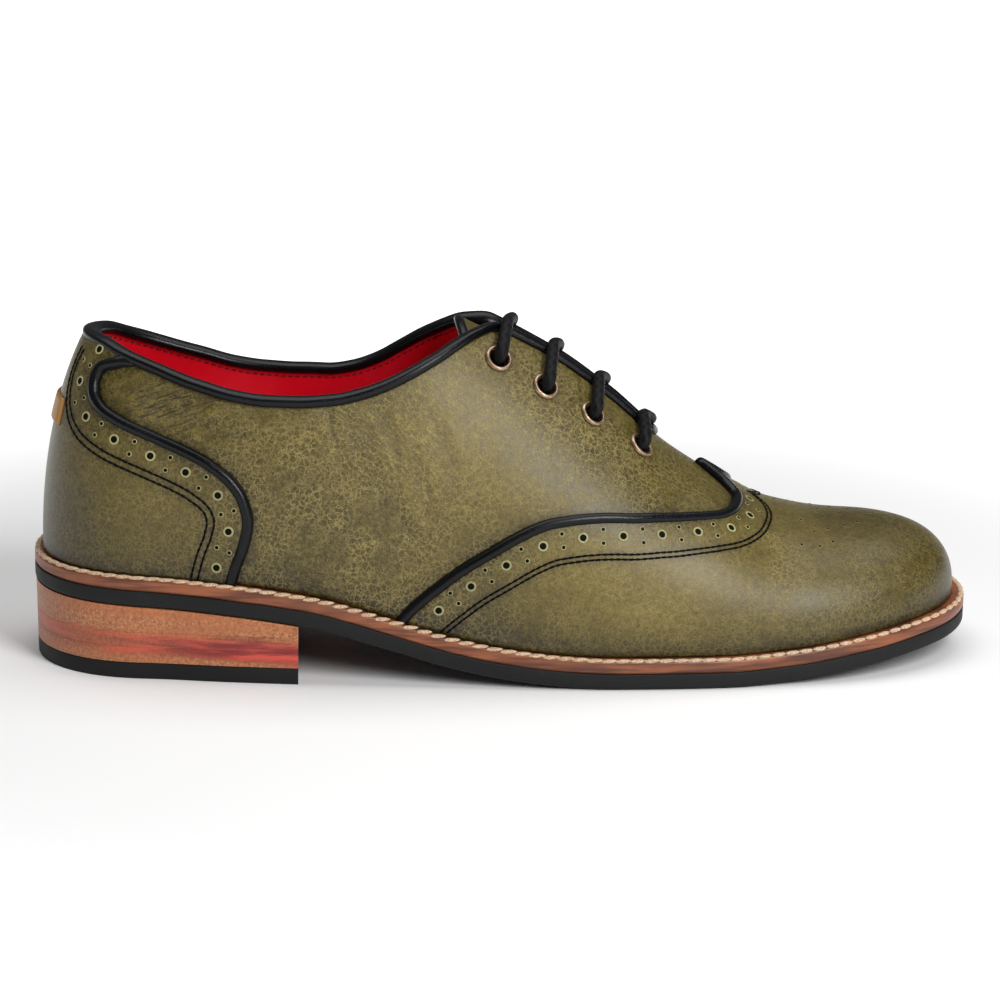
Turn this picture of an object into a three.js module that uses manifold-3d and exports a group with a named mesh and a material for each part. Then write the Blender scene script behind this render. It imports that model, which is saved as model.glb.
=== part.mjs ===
import * as THREE from "three";
import manifoldModule from "manifold-3d";

// Right wing-tip lace-up shoe standing on its sole.
// Millimetres, +Z up, toe towards +X, outer side of the foot towards -Y.

// Sizes that drive the shoe.
const LENGTH = 275; // outsole, back to toe
const BALL = 88; // unit of every half width: the last across the ball
const RISE = 92; // unit of every height of the upper above its seat
const HEEL = 22.3; // underside of the outsole above the floor at the back
const SPRING = 8; // underside of the outsole above the floor at the toe tip
const GAP = 0.3; // clearance between neighbouring pieces
const LAYER_GAP = 0.15; // clearance between the glued layers of the heel

// Bottom pieces.
const OUTSOLE_THICK = 4.8;
const OUTSOLE_BEVEL = 1.3;
const WELT_THICK = 3.7;
const WELT_BITE = 3; // welt under the upper, measured in from the upper's outline
const HEEL_MARGIN = 3.8; // welt past the upper at the back
const WAIST_MARGIN = 3.6; // and along the waist
const TOE_MARGIN = 5; // and round the forefoot
const HEEL_LENGTH = 0.2765; // share of LENGTH
const HEEL_SET_IN = 0.3; // heel side inside the outsole side
const HEEL_TAPER = 0.4; // more of the same down at the floor
const TOP_PIECE_THICK = 4.8;
const LIFT_THICK = 4.6;
const MIDDLE_LIFT_THICK = 4.3;
const INSOLE_CLEAR = 0.4; // insole edge inside the welt
const INSOLE_PROUD = 1; // insole top above the welt top

// Upper.
const WALL = 2.2;
const OVERLAY = 1; // thickness of the wing cap and of the counter
const OVERLAY_GAP = 0.4; // clearance over and under the facets of a bent wall
const PIPING_HALF = 1.7;
const PIPING_HIGH = 2;
const BINDING_THICK = 0.8;
const BINDING_OUTSIDE = 2.5; // depth of the binding down the outside
const BINDING_INSIDE = 1.5; // and down the inside
const TONGUE_THICK = 2;
const TAB_WIDE = 10;
const TAB_THICK = 0.8;
const TAB_SPAN = [0.53, 0.645]; // share of the back height

// Eyelets and laces.
const EYELET_BORE = 2.5;
const EYELET_BARREL = 3;
const BARREL_END = 0.35; // barrel past the lining face
const EYELET_FLANGE = 4.15;
const FLANGE_THICK = 0.75;
const EYELET_HOLE = 3.3;
const LACE = 1.55;
const LACE_LIFT = GAP + BINDING_THICK + 0.35 + LACE; // lace centre above the facing
const LACE_BEND = 2.3;
const LACE_LEAN = 0.014; // inner eyelets nearer the toe
const LACE_BOW = 1.6; // lace over the throat, towards the toe

// Underside of the outsole: share of LENGTH, share of HEEL, share of SPRING.
const SOLE = table(["at", "lift", "spring"], [
  [0, 1, 0],
  [0.15, 0.925, 0],
  [0.28, 0.76, 0],
  [0.375, 0.45, 0],
  [0.43, 0.255, 0],
  [0.49, 0.11, 0],
  [0.55, 0.03, 0],
  [0.6, 0, 0],
  [0.72, 0, 0],
  [0.79, 0, 0.14],
  [0.86, 0, 0.42],
  [0.93, 0, 0.74],
  [1, 0, 1],
]);

// The last, one row a section: place along the foot, half widths and sideways drift (BALL),
// place of the crest point (length of the last), crest height (RISE), roundness over the crest,
// roundness at the feather edge, and swell of the outer and the inner side.
const LAST = table(
  ["at", "outer", "inner", "drift", "crest", "rise", "crown", "wall", "belly", "arch"],
  [
    [0, 0.335, 0.335, 0, 0.108, 0.845, 1.75, 2, 0.01, 0.01],
    [0.1, 0.345, 0.335, 0, 0.14, 0.87, 1.9, 2, 0.02, 0.025],
    [0.2, 0.385, 0.33, -0.008, 0.21, 0.93, 2, 2.2, 0.03, 0.05],
    [0.3, 0.415, 0.29, -0.016, 0.3, 0.975, 2, 2.4, 0.03, 0.11],
    [0.4, 0.435, 0.245, -0.018, 0.4, 1.04, 2.1, 2.4, 0.03, 0.2],
    [0.475, 0.455, 0.262, -0.016, 0.475, 0.972, 2.1, 2.3, 0.03, 0.17],
    [0.55, 0.477, 0.324, -0.008, 0.55, 0.868, 2, 2.2, 0.03, 0.09],
    [0.61, 0.491, 0.378, 0.001, 0.61, 0.742, 1.9, 2.2, 0.03, 0.055],
    [0.67, 0.496, 0.425, 0.01, 0.67, 0.584, 1.9, 2.2, 0.03, 0.038],
    [0.72, 0.492, 0.452, 0.014, 0.716, 0.484, 2, 2.2, 0.03, 0.03],
    [0.8, 0.468, 0.463, 0.024, 0.783, 0.339, 2.2, 2.3, 0.02, 0.02],
    [0.88, 0.45, 0.45, 0.036, 0.838, 0.271, 2.6, 2.5, 0.01, 0.01],
    [0.95, 0.44, 0.44, 0.045, 0.863, 0.262, 3, 2.9, 0, 0],
    [1, 0.44, 0.44, 0.048, 0.87, 0.256, 3.1, 3, 0, 0],
  ],
);
const HEEL_ROUND = 0.115; // share of the last that rounds in at the back
const TOE_ROUND = 0.2; // and at the toe
const HEEL_POWER = 2.15;
const TOE_POWER = 2.2;

// Topline of the collar: place along the foot, height above the seat (RISE) on either side.
const COLLAR = [
  [0, 0.697, 0.697],
  [0.03, 0.69, 0.688],
  [0.06, 0.671, 0.668],
  [0.11, 0.638, 0.636],
  [0.16, 0.604, 0.604],
  [0.2, 0.587, 0.58],
  [0.24, 0.588, 0.576],
  [0.273, 0.601, 0.585],
  [0.306, 0.628, 0.604],
  [0.333, 0.666, 0.638],
  [0.36, 0.715, 0.692],
  [0.387, 0.773, 0.764],
  [0.414, 0.836, 0.838],
  [0.434, 0.882, 0.884],
  [0.456, 0.922, 0.922],
];
// Edges of the facings: place along the foot, middle to the outer and the inner edge (BALL).
const THROAT = [
  [0.485, 0.108, 0.072],
  [0.51, 0.092, 0.073],
  [0.54, 0.079, 0.071],
  [0.57, 0.068, 0.065],
  [0.61, 0.057, 0.056],
  [0.638, 0.05, 0.05],
  [0.6525, 0.0365, 0.0365],
  [0.6585, 0, 0],
];
const THROAT_END = THROAT[THROAT.length - 1][0];

// Seam lines: share of the rib above the feather edge, place along the foot.
const WING_LINE = [
  [0, 0.38],
  [0.055, 0.4145],
  [0.113, 0.447],
  [0.171, 0.479],
  [0.225, 0.5075],
  [0.27, 0.534],
  [0.305, 0.563],
  [0.343, 0.594],
  [0.378, 0.623],
  [0.435, 0.6535],
  [0.5, 0.6855],
  [0.555, 0.71],
  [0.615, 0.7305],
  [0.72, 0.7485],
  [0.845, 0.757],
  [0.92, 0.747],
  [0.97, 0.7295],
  [1, 0.719],
];
// Counter line: share of the topline's own rib share, place along the foot.
const COUNTER_LINE = [
  [0, 0.199],
  [0.07, 0.204],
  [0.165, 0.212],
  [0.287, 0.217],
  [0.405, 0.211],
  [0.487, 0.199],
  [0.56, 0.176],
  [0.605, 0.149],
  [0.632, 0.114],
  [0.655, 0.074],
  [0.685, 0.049],
  [0.73, 0.038],
  [0.79, 0.035],
  [0.85, 0.038],
  [0.89, 0.047],
  [0.915, 0.062],
];
// Eyelets: place along the foot, distance from the edge of the facing.
const EYELETS = [
  [0.483, 12.8],
  [0.534, 15.9],
  [0.586, 16.1],
  [0.64, 14.5],
];
const TONGUE_FROM = 0.458;
const TONGUE_TO = 0.7;
const TONGUE_SIDE = 0.66; // share of the rib where the tongue ends at the sides
const TONGUE_DIP = 2; // its top end lower in the middle

// A smooth curve through a few points that never overshoots them.
function smooth(xs, ys) {
  const last = xs.length - 1;
  const step = xs.slice(1).map((x, i) => x - xs[i]);
  const rise = step.map((h, i) => (ys[i + 1] - ys[i]) / h);
  const slope = xs.map((_, i) => {
    if (i === 0) return rise[0];
    if (i === last) return rise[last - 1];
    if (rise[i - 1] * rise[i] <= 0) return 0;
    const near = 2 * step[i] + step[i - 1];
    const far = step[i] + 2 * step[i - 1];
    return (near + far) / (near / rise[i - 1] + far / rise[i]);
  });
  return (value) => {
    const x = Math.min(Math.max(value, xs[0]), xs[last]);
    let i = 0;
    while (i < last - 1 && x > xs[i + 1]) i += 1;
    const h = step[i];
    const t = (x - xs[i]) / h;
    const start = (2 * t ** 3 - 3 * t ** 2 + 1) * ys[i] + (t ** 3 - 2 * t ** 2 + t) * h * slope[i];
    const end = (3 * t ** 2 - 2 * t ** 3) * ys[i + 1] + (t ** 3 - t ** 2) * h * slope[i + 1];
    return start + end;
  };
}

function table(columns, rows) {
  const out = {};
  columns.slice(1).forEach((name, i) => {
    out[name] = smooth(rows.map((row) => row[0]), rows.map((row) => row[i + 1]));
  });
  return out;
}

function curve(rows) {
  return smooth(rows.map((row) => row[0]), rows.map((row) => row[1]));
}

function clamp(value, low, high) {
  return Math.min(Math.max(value, low), high);
}

// Places. A place round the shoe, "round", runs from -1 at the toe along the outer side to 0 at
// the back seam and along the inner side to 1 at the toe. Its share along the foot is "at".
const LAST_START = HEEL_MARGIN;
const LAST_LENGTH = LENGTH - TOE_MARGIN - HEEL_MARGIN;

function atOf(round) {
  return (1 - Math.cos(Math.PI * round)) / 2;
}

function roundOf(side, at) {
  return (side * Math.acos(clamp(1 - 2 * at, -1, 1))) / Math.PI;
}

function soleUnder(x) {
  return SOLE.lift(x / LENGTH) * HEEL + SOLE.spring(x / LENGTH) * SPRING;
}

function weltTop(x) {
  return soleUnder(x) + OUTSOLE_THICK + WELT_THICK;
}

function crestHeight(x) {
  return weltTop(x) + LAST.rise((x - LAST_START) / LAST_LENGTH) * RISE;
}

function rounding(at) {
  const back = clamp(1 - at / HEEL_ROUND, 0, 1);
  const front = clamp((at - 1 + TOE_ROUND) / TOE_ROUND, 0, 1);
  return (1 - back ** HEEL_POWER) ** (1 / HEEL_POWER) * (1 - front ** TOE_POWER) ** (1 / TOE_POWER);
}

function outline(round) {
  const at = atOf(round);
  const side = round < 0 ? -1 : 1;
  const half = (side < 0 ? LAST.outer(at) : LAST.inner(at)) * BALL * rounding(at);
  return [LAST_START + at * LAST_LENGTH, LAST.drift(at) * BALL + side * half];
}

// Outline moved outwards by a margin, in plan.
function outset(round, margin) {
  const d = 1e-3;
  const [x, y] = outline(round);
  if (Math.abs(round) < 1e-6) return [x - margin, y];
  if (Math.abs(round) > 1 - 1e-6) return [x + margin, y];
  const [xa, ya] = outline(Math.max(round - d, -1));
  const [xb, yb] = outline(Math.min(round + d, 1));
  const length = Math.hypot(xb - xa, yb - ya);
  return [x - ((yb - ya) / length) * margin, y + ((xb - xa) / length) * margin];
}

// The surface of the last. "up" runs from 0 at the feather edge to 1 on the crest, and on down
// the other side.
function bare(roundIn, upIn) {
  let round = roundIn;
  let up = Math.max(upIn, 0);
  if (up > 1) {
    round = -round;
    up = 2 - up;
  }
  if (round > 1) round -= 2;
  if (round < -1) round += 2;
  const at = atOf(round);
  const [x, y] = outline(round);
  const foot = weltTop(x) + GAP;
  const crest = LAST.crest(at);
  const cx = LAST_START + crest * LAST_LENGTH;
  const cy = LAST.drift(crest) * BALL;
  const cz = crestHeight(cx);
  const turn = (up * Math.PI) / 2;
  const inward = Math.max(Math.cos(turn), 0) ** (2 / LAST.crown(at));
  const upward = Math.sin(turn) ** (2 / LAST.wall(at));
  const swell = (round < 0 ? LAST.belly : LAST.arch)(at) * Math.sin(Math.PI * clamp(up / 0.62, 0, 1));
  const out = inward * (1 + swell);
  const slope = at > 0.5 ? (crestHeight(cx + 2) - crestHeight(cx - 2)) / 4 : 0;
  return new THREE.Vector3(
    cx + (x - cx) * out,
    cy + (y - cy) * out,
    foot + (cz - foot) * upward + slope * (x - cx) * out * upward,
  );
}

function tangents(round, up) {
  const d = 1e-3;
  const along = bare(round + d, up).sub(bare(round - d, up)).divideScalar(2 * d);
  const low = Math.max(up - d, 0);
  const rising = bare(round, up + d).sub(bare(round, low)).divideScalar(up + d - low);
  return [along, rising];
}

function normal(round, up) {
  if (up > 1 - 1e-6) {
    const x = bare(round, 1).x;
    const slope = (crestHeight(x + 2) - crestHeight(x - 2)) / 4;
    return new THREE.Vector3(-slope, 0, 1).normalize();
  }
  const [along, rising] = tangents(round, up);
  const out = rising.cross(along);
  if (up < 1e-6) out.z = 0;
  return out.normalize();
}

// A point of the upper, "off" the surface of the last, outwards.
function skin(round, up, off = 0) {
  return bare(round, up).addScaledVector(normal(round, up), off);
}

// The place reached by going a given way over the surface, first along and then across a seam.
function moved([round, up], direction, distance) {
  const [along, rising] = tangents(round, up);
  const aa = along.dot(along);
  const ab = along.dot(rising);
  const bb = rising.dot(rising);
  const da = along.dot(direction);
  const db = rising.dot(direction);
  const det = aa * bb - ab * ab;
  const limit = Math.max(det, 1e-9);
  return [
    round + ((da * bb - db * ab) / limit) * distance,
    Math.max(up + ((db * aa - da * ab) / limit) * distance, 0),
  ];
}

// Topline: the share of the rib at which the wall ends, for each side.
function solve(test) {
  let low = 0;
  let high = 1;
  for (let i = 0; i < 40; i += 1) {
    const middle = (low + high) / 2;
    if (test(middle)) low = middle;
    else high = middle;
  }
  return (low + high) / 2;
}

function toplineOf(side) {
  const points = COLLAR.map(([at, outer, inner]) => {
    const round = roundOf(side, at);
    const height = weltTop(outline(round)[0]) + (side < 0 ? outer : inner) * RISE;
    return [at, solve((up) => bare(round, up).z < height)];
  });
  THROAT.forEach(([at, outer, inner]) => {
    const half = side < 0 ? outer : inner;
    const round = roundOf(side, at);
    const middle = bare(round, 1).y;
    const share = half === 0 ? 1 : solve((up) => Math.abs(bare(round, up).y - middle) > half * BALL);
    points.push([at, share]);
  });
  return curve(points);
}

const TOPLINE = { outer: toplineOf(-1), inner: toplineOf(1) };

function topline(round) {
  const at = atOf(round);
  return at >= THROAT_END ? 1 : (round < 0 ? TOPLINE.outer : TOPLINE.inner)(at);
}

// Solids. Facets are gathered as quads, joined at shared points and turned to face outwards.
function quads(rows, facets, wrap = false) {
  const count = rows[0].length;
  for (let i = 0; i < rows.length - 1; i += 1) {
    for (let j = 0; j < (wrap ? count : count - 1); j += 1) {
      const k = (j + 1) % count;
      const [a, b, c, d] = [rows[i][j], rows[i + 1][j], rows[i + 1][k], rows[i][k]];
      if (a.distanceTo(c) < b.distanceTo(d)) facets.push([a, b, c], [a, c, d]);
      else facets.push([a, b, d], [b, c, d]);
    }
  }
}

function fan(ring, facets) {
  const middle = new THREE.Vector3();
  ring.forEach((point) => middle.add(point));
  middle.divideScalar(ring.length);
  ring.forEach((point, i) => facets.push([middle, point, ring[(i + 1) % ring.length]]));
}

function geometryOf(facets) {
  const places = new Map();
  const points = [];
  const indexOf = (point) => {
    const key = [point.x, point.y, point.z].map((value) => Math.round(value * 400)).join(" ");
    if (!places.has(key)) {
      places.set(key, points.length);
      points.push(point);
    }
    return places.get(key);
  };
  const faces = facets
    .map((facet) => facet.map(indexOf))
    .filter(([a, b, c]) => a !== b && b !== c && c !== a);
  const byEdge = new Map();
  faces.forEach((face, f) => {
    face.forEach((a, i) => {
      const b = face[(i + 1) % 3];
      const key = a < b ? `${a} ${b}` : `${b} ${a}`;
      if (!byEdge.has(key)) byEdge.set(key, []);
      byEdge.get(key).push(f);
    });
  });
  // Each facet is turned to agree with its neighbour, from the first one on.
  const seen = new Set();
  faces.forEach((_, first) => {
    if (seen.has(first)) return;
    seen.add(first);
    const queue = [first];
    while (queue.length > 0) {
      const f = queue.pop();
      for (let i = 0; i < 3; i += 1) {
        const a = faces[f][i];
        const b = faces[f][(i + 1) % 3];
        const key = a < b ? `${a} ${b}` : `${b} ${a}`;
        byEdge.get(key).forEach((g) => {
          if (seen.has(g)) return;
          seen.add(g);
          const spot = faces[g].indexOf(a);
          if (faces[g][(spot + 1) % 3] === b) faces[g].reverse();
          queue.push(g);
        });
      }
    }
  });
  const volume = faces.reduce((sum, [a, b, c]) => {
    return sum + points[a].dot(new THREE.Vector3().crossVectors(points[b], points[c]));
  }, 0);
  if (volume < 0) faces.forEach((face) => face.reverse());
  const geometry = new THREE.BufferGeometry();
  const flat = points.flatMap((point) => [point.x, point.y, point.z]);
  geometry.setAttribute("position", new THREE.Float32BufferAttribute(flat, 3));
  geometry.setIndex(faces.flat());
  return geometry;
}

// A closed tube or bar through rings of points. An end ring whose two sides meet needs no cap.
function sweep(rings, closed = false) {
  const facets = [];
  quads(closed ? [...rings, rings[0]] : rings, facets, true);
  const ends = closed ? [] : [rings[0], rings[rings.length - 1]];
  ends.filter((ring) => ring[0].distanceTo(ring[ring.length - 1]) > 0.01)
    .forEach((ring) => fan(ring, facets));
  return geometryOf(facets);
}

// A shell between two faces given as the same grid of points, closed along its four sides.
function shell(outerRows, innerRows) {
  const facets = [];
  quads(outerRows, facets);
  quads(innerRows, facets);
  const last = outerRows.length - 1;
  quads([outerRows[0], innerRows[0]], facets);
  quads([outerRows[last], innerRows[last]], facets);
  quads([outerRows.map((row) => row[0]), innerRows.map((row) => row[0])], facets);
  quads([outerRows.map((row) => row[row.length - 1]), innerRows.map((row) => row[row.length - 1])], facets);
  return geometryOf(facets);
}

function spread(count, from = 0, to = 1) {
  return Array.from({ length: count + 1 }, (_, i) => from + ((to - from) * i) / count);
}

const shoe = new THREE.Group();
shoe.name = "brogue_shoe";

const MATERIALS = {
  upper_leather: { color: 0x5d5632, roughness: 0.45, metalness: 0 },
  piping_leather: { color: 0x15171c, roughness: 0.3, metalness: 0 },
  tab_leather: { color: 0x9a6a3c, roughness: 0.55, metalness: 0 },
  welt_leather: { color: 0x6b3a26, roughness: 0.5, metalness: 0 },
  stack_leather: { color: 0xb0703c, roughness: 0.5, metalness: 0 },
  sole_rubber: { color: 0x1b1b1c, roughness: 0.7, metalness: 0 },
  insole_leather: { color: 0x9c1f24, roughness: 0.55, metalness: 0 },
  eyelet_metal: { color: 0x8a5f48, roughness: 0.35, metalness: 1 },
  lace_cord: { color: 0x111113, roughness: 0.8, metalness: 0 },
};
const materials = Object.fromEntries(
  Object.entries(MATERIALS).map(([slot, look]) => {
    const material = new THREE.MeshStandardMaterial(look);
    material.name = slot;
    return [slot, material];
  }),
);

function add(name, slot, geometry) {
  const mesh = new THREE.Mesh(geometry, materials[slot]);
  mesh.name = name;
  shoe.add(mesh);
}

// Bottom.
const MARGIN = smooth([0, 0.3, 0.7, 1], [HEEL_MARGIN, WAIST_MARGIN, TOE_MARGIN, TOE_MARGIN]);

function edgePair(at, less) {
  const margin = MARGIN(at) - less;
  return [outset(roundOf(-1, at), margin), outset(roundOf(1, at), margin)];
}

// A plate in rows across the foot; each layer of it gives a height at x and a set-in.
function plate(stations, layers) {
  const rings = stations.map((at) => {
    const left = layers.map(({ inset, height }) => {
      const [[x, y]] = edgePair(at, inset);
      return new THREE.Vector3(x, y, height(x));
    });
    const right = layers.map(({ inset, height }) => {
      const [, [x, y]] = edgePair(at, inset);
      return new THREE.Vector3(x, y, height(x));
    });
    return [...left, ...right.reverse()];
  });
  return rings;
}

const FOOT_STATIONS = spread(38).map((u) => atOf(u));

add("outsole", "sole_rubber", sweep(plate(FOOT_STATIONS, [
  { inset: OUTSOLE_BEVEL, height: soleUnder },
  { inset: 0, height: (x) => soleUnder(x) + OUTSOLE_BEVEL },
  { inset: 0, height: (x) => soleUnder(x) + OUTSOLE_THICK - LAYER_GAP },
])));

const weltRings = spread(76, -1, 1).slice(0, -1).map((round) => {
  const at = atOf(round);
  const [xo, yo] = outset(round, MARGIN(at));
  const [xi, yi] = outset(round, -WELT_BITE);
  const low = OUTSOLE_THICK;
  const high = OUTSOLE_THICK + WELT_THICK;
  return [
    new THREE.Vector3(xo, yo, soleUnder(xo) + low),
    new THREE.Vector3(xo, yo, soleUnder(xo) + high),
    new THREE.Vector3(xi, yi, soleUnder(xi) + high),
    new THREE.Vector3(xi, yi, soleUnder(xi) + low),
  ];
});
add("welt", "welt_leather", sweep(weltRings, true));

const insoleInset = (at) => MARGIN(at) + WELT_BITE + INSOLE_CLEAR;
const insoleRings = FOOT_STATIONS.map((at) => {
  const [left, right] = edgePair(at, insoleInset(at));
  const low = OUTSOLE_THICK;
  const high = OUTSOLE_THICK + WELT_THICK + INSOLE_PROUD;
  return [
    new THREE.Vector3(...left, soleUnder(left[0]) + low),
    new THREE.Vector3(...left, soleUnder(left[0]) + high),
    new THREE.Vector3(...right, soleUnder(right[0]) + high),
    new THREE.Vector3(...right, soleUnder(right[0]) + low),
  ];
});
add("insole", "insole_leather", sweep(insoleRings));

// Heel layers, floor to outsole.
const HEEL_STATIONS = spread(14).map((u) => {
  const end = (HEEL_LENGTH * LENGTH - LAST_START) / LAST_LENGTH;
  return end * (1 - Math.cos((u * Math.PI) / 2));
});

function setIn(height) {
  return HEEL_SET_IN + HEEL_TAPER * (1 - height / HEEL);
}

function heelLayer(low, high) {
  return sweep(plate(HEEL_STATIONS, [
    { inset: setIn(low), height: () => low },
    { inset: setIn(typeof high === "number" ? high : HEEL), height: typeof high === "number" ? () => high : high },
  ]));
}

const liftOne = TOP_PIECE_THICK;
const liftTwo = liftOne + LIFT_THICK;
const liftThree = liftTwo + MIDDLE_LIFT_THICK;
add("top_piece", "sole_rubber", heelLayer(0, liftOne - LAYER_GAP));
add("heel_lift_bottom", "stack_leather", heelLayer(liftOne, liftTwo - LAYER_GAP));
add("heel_lift_middle", "stack_leather", heelLayer(liftTwo, liftThree - LAYER_GAP));
add("heel_lift_top", "stack_leather", heelLayer(liftThree, (x) => soleUnder(x) - GAP));

// Upper: the wall between the surface of the last and its lining face, open at the collar, the
// throat and underneath.
const UPPER_ROUNDS = [
  ...spread(24, 0, roundOf(1, 0.638)).slice(0, -1),
  ...[0.638, 0.647, 0.6525, 0.6565, THROAT_END].map((at) => roundOf(1, at)),
  ...[0.69, 0.715, 0.745, 0.78, 0.815, 0.85, 0.885, 0.92, 0.95, 0.975, 0.993, 1].map((at) => roundOf(1, at)),
];
const UP_SHARES = [0, 0.11, 0.25, 0.41, 0.58, 0.75, 0.9, 1];

function upperRows(side, off) {
  return UPPER_ROUNDS.map((round) => {
    const top = topline(side * round);
    return UP_SHARES.map((share) => skin(side * round, share * top, off));
  });
}

function upperShell() {
  const facets = [];
  [-1, 1].forEach((side) => {
    const outer = upperRows(side, 0);
    const inner = upperRows(side, -WALL);
    quads(outer, facets);
    quads(inner, facets);
    quads([outer.map((row) => row[0]), inner.map((row) => row[0])], facets);
    const open = outer.length - UPPER_ROUNDS.filter((round) => atOf(round) > THROAT_END + 1e-9).length;
    const crest = UP_SHARES.length - 1;
    quads([outer, inner].map((rows) => rows.slice(0, open).map((row) => row[crest])), facets);
  });
  return geometryOf(facets);
}

const EYELET_PLACES = [0, LACE_LEAN].map((lean, i) => EYELETS.map(([at, distance]) => {
  const round = roundOf(i === 0 ? -1 : 1, at + lean);
  const edge = bare(round, topline(round));
  return [round, solve((up) => up < topline(round) && bare(round, up).distanceTo(edge) > distance)];
}));

function frameAt([round, up]) {
  const axis = normal(round, up);
  const across = new THREE.Vector3(1, 0, 0).addScaledVector(axis, -axis.x).normalize();
  return { middle: bare(round, up), axis, across, other: new THREE.Vector3().crossVectors(axis, across) };
}

function circle({ middle, axis, across, other }, radius, height, count) {
  return spread(count).slice(0, -1).map((share) => {
    const angle = share * Math.PI * 2;
    return middle.clone()
      .addScaledVector(axis, height)
      .addScaledVector(across, Math.cos(angle) * radius)
      .addScaledVector(other, Math.sin(angle) * radius);
  });
}

const wasm = await manifoldModule();
wasm.setup();

function solidOf(geometry) {
  const mesh = new wasm.Mesh({
    numProp: 3,
    vertProperties: geometry.getAttribute("position").array,
    triVerts: new Uint32Array(geometry.getIndex().array),
  });
  mesh.merge();
  return new wasm.Manifold(mesh);
}

function withHoles(geometry, tools) {
  const cut = tools.reduce((solid, tool) => solid.subtract(solidOf(tool)), solidOf(geometry));
  const mesh = cut.getMesh();
  const result = new THREE.BufferGeometry();
  result.setAttribute("position", new THREE.Float32BufferAttribute(mesh.vertProperties, 3));
  result.setIndex([...mesh.triVerts]);
  return result;
}

const holeTools = EYELET_PLACES.flat().map((place) => {
  const frame = frameAt(place);
  return sweep([circle(frame, EYELET_HOLE, -WALL - 3, 10), circle(frame, EYELET_HOLE, 3, 10)]);
});
add("upper", "upper_leather", withHoles(upperShell(), holeTools));

// Seams. A seam is a list of places; each has a way across the surface at right angles to it.
function seam(places) {
  return places.map((place, i) => {
    const before = bare(...places[Math.max(i - 1, 0)]);
    const after = bare(...places[Math.min(i + 1, places.length - 1)]);
    const along = after.sub(before).normalize();
    const across = new THREE.Vector3().crossVectors(along, normal(...place)).normalize();
    return { place, across };
  });
}

function pipingRings(line) {
  const section = [
    [-1, 0],
    [-0.95, 0.45],
    [-0.6, 0.85],
    [0, 1],
    [0.6, 0.85],
    [0.95, 0.45],
    [1, 0],
    [0, 0],
  ];
  return line.map(({ place, across }) => section.map(([side, high]) => {
    return skin(...moved(place, across, side * PIPING_HALF), OVERLAY_GAP + high * PIPING_HIGH);
  }));
}

// Wing cap with its piping, from the outer welt over the crest to the inner welt.
const wingLine = curve(WING_LINE);
const WING_SHARES = [0, 0.06, 0.12, 0.18, 0.24, 0.3, 0.37, 0.45, 0.54, 0.64, 0.74, 0.84, 0.92, 0.97];

function wingPlaces() {
  const outer = WING_SHARES.map((up) => [roundOf(-1, wingLine(up)), up]);
  const inner = WING_SHARES.map((up) => [roundOf(1, wingLine(up)), up]).reverse();
  return [...outer, [roundOf(-1, wingLine(1)), 1], ...inner];
}

const wingSeam = seam(wingPlaces());
add("wing_piping", "piping_leather", sweep(pipingRings(wingSeam)));

// Edge of an overlay beside its piping. The part below the feather edge is cut off.
function overlayEdge(line, distance) {
  return line.map(({ place, across }) => moved(place, across, distance));
}

function wingCap() {
  const half = overlayEdge(wingSeam.slice(0, WING_SHARES.length + 1), PIPING_HALF + GAP);
  const edge = half.filter(([, up]) => up > 1e-6);
  const first = half.length - edge.length;
  const below = moved(wingSeam[first - 1].place, wingSeam[first - 1].across, 0);
  const start = [edge[0][0] - (edge[1][0] - edge[0][0]) * (edge[0][1] / (edge[1][1] - edge[0][1])), 0];
  const rows = [start.every(Number.isFinite) ? start : below, ...edge];
  rows[rows.length - 1] = [rows[rows.length - 1][0], 1];
  const columns = spread(12);
  const facets = [];
  [-1, 1].forEach((side) => {
    const faces = [OVERLAY_GAP, OVERLAY_GAP + OVERLAY].map((off) => rows.map(([round, up]) => {
      const from = Math.abs(round);
      return columns.map((share) => skin(side * (from + (1 - from) * share), up, off));
    }));
    const [inner, outer] = faces;
    quads(outer, facets);
    quads(inner, facets);
    quads([outer[0], inner[0]], facets);
    quads([outer.map((row) => row[0]), inner.map((row) => row[0])], facets);
  });
  return geometryOf(facets);
}

add("wing_cap", "upper_leather", wingCap());

// Heel counter with its piping on each side.
const counterLine = curve(COUNTER_LINE);
const COUNTER_SHARES = [0, 0.08, 0.18, 0.29, 0.4, 0.48, 0.55, 0.6, 0.63, 0.655, 0.69, 0.74, 0.8, 0.86, 0.905];
const COUNTER_TOP = 0.942; // back of the counter, share of the topline
const COUNTER_COLUMNS = 8;

function counterPlaces(side) {
  return COUNTER_SHARES.map((share) => {
    const round = roundOf(side, counterLine(share));
    return [round, share * topline(round)];
  });
}

const counterSeams = [-1, 1].map((side) => seam(counterPlaces(side)));
["outer", "inner"].forEach((name, i) => {
  add(`counter_piping_${name}`, "piping_leather", sweep(pipingRings(counterSeams[i])));
});

function heelCounter() {
  const facets = [];
  [-1, 1].forEach((side, i) => {
    const edge = overlayEdge(counterSeams[i], (PIPING_HALF + GAP) * side);
    edge[0] = [edge[0][0], 0];
    const faces = [OVERLAY_GAP, OVERLAY_GAP + OVERLAY].map((off) => edge.map(([round, up], k) => {
      const share = Math.min(up / topline(round), COUNTER_TOP);
      const back = (COUNTER_SHARES[k] / COUNTER_SHARES[edge.length - 1]) * COUNTER_TOP;
      return spread(COUNTER_COLUMNS).map((part) => {
        const here = round * part;
        return skin(here, (back + (share - back) * part) * topline(here), off);
      });
    }));
    const [inner, outer] = faces;
    const last = edge.length - 1;
    quads(outer, facets);
    quads(inner, facets);
    quads([outer[0], inner[0]], facets);
    quads([outer[last], inner[last]], facets);
    quads([outer, inner].map((rows) => rows.map((row) => row[COUNTER_COLUMNS])), facets);
  });
  return geometryOf(facets);
}

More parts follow.
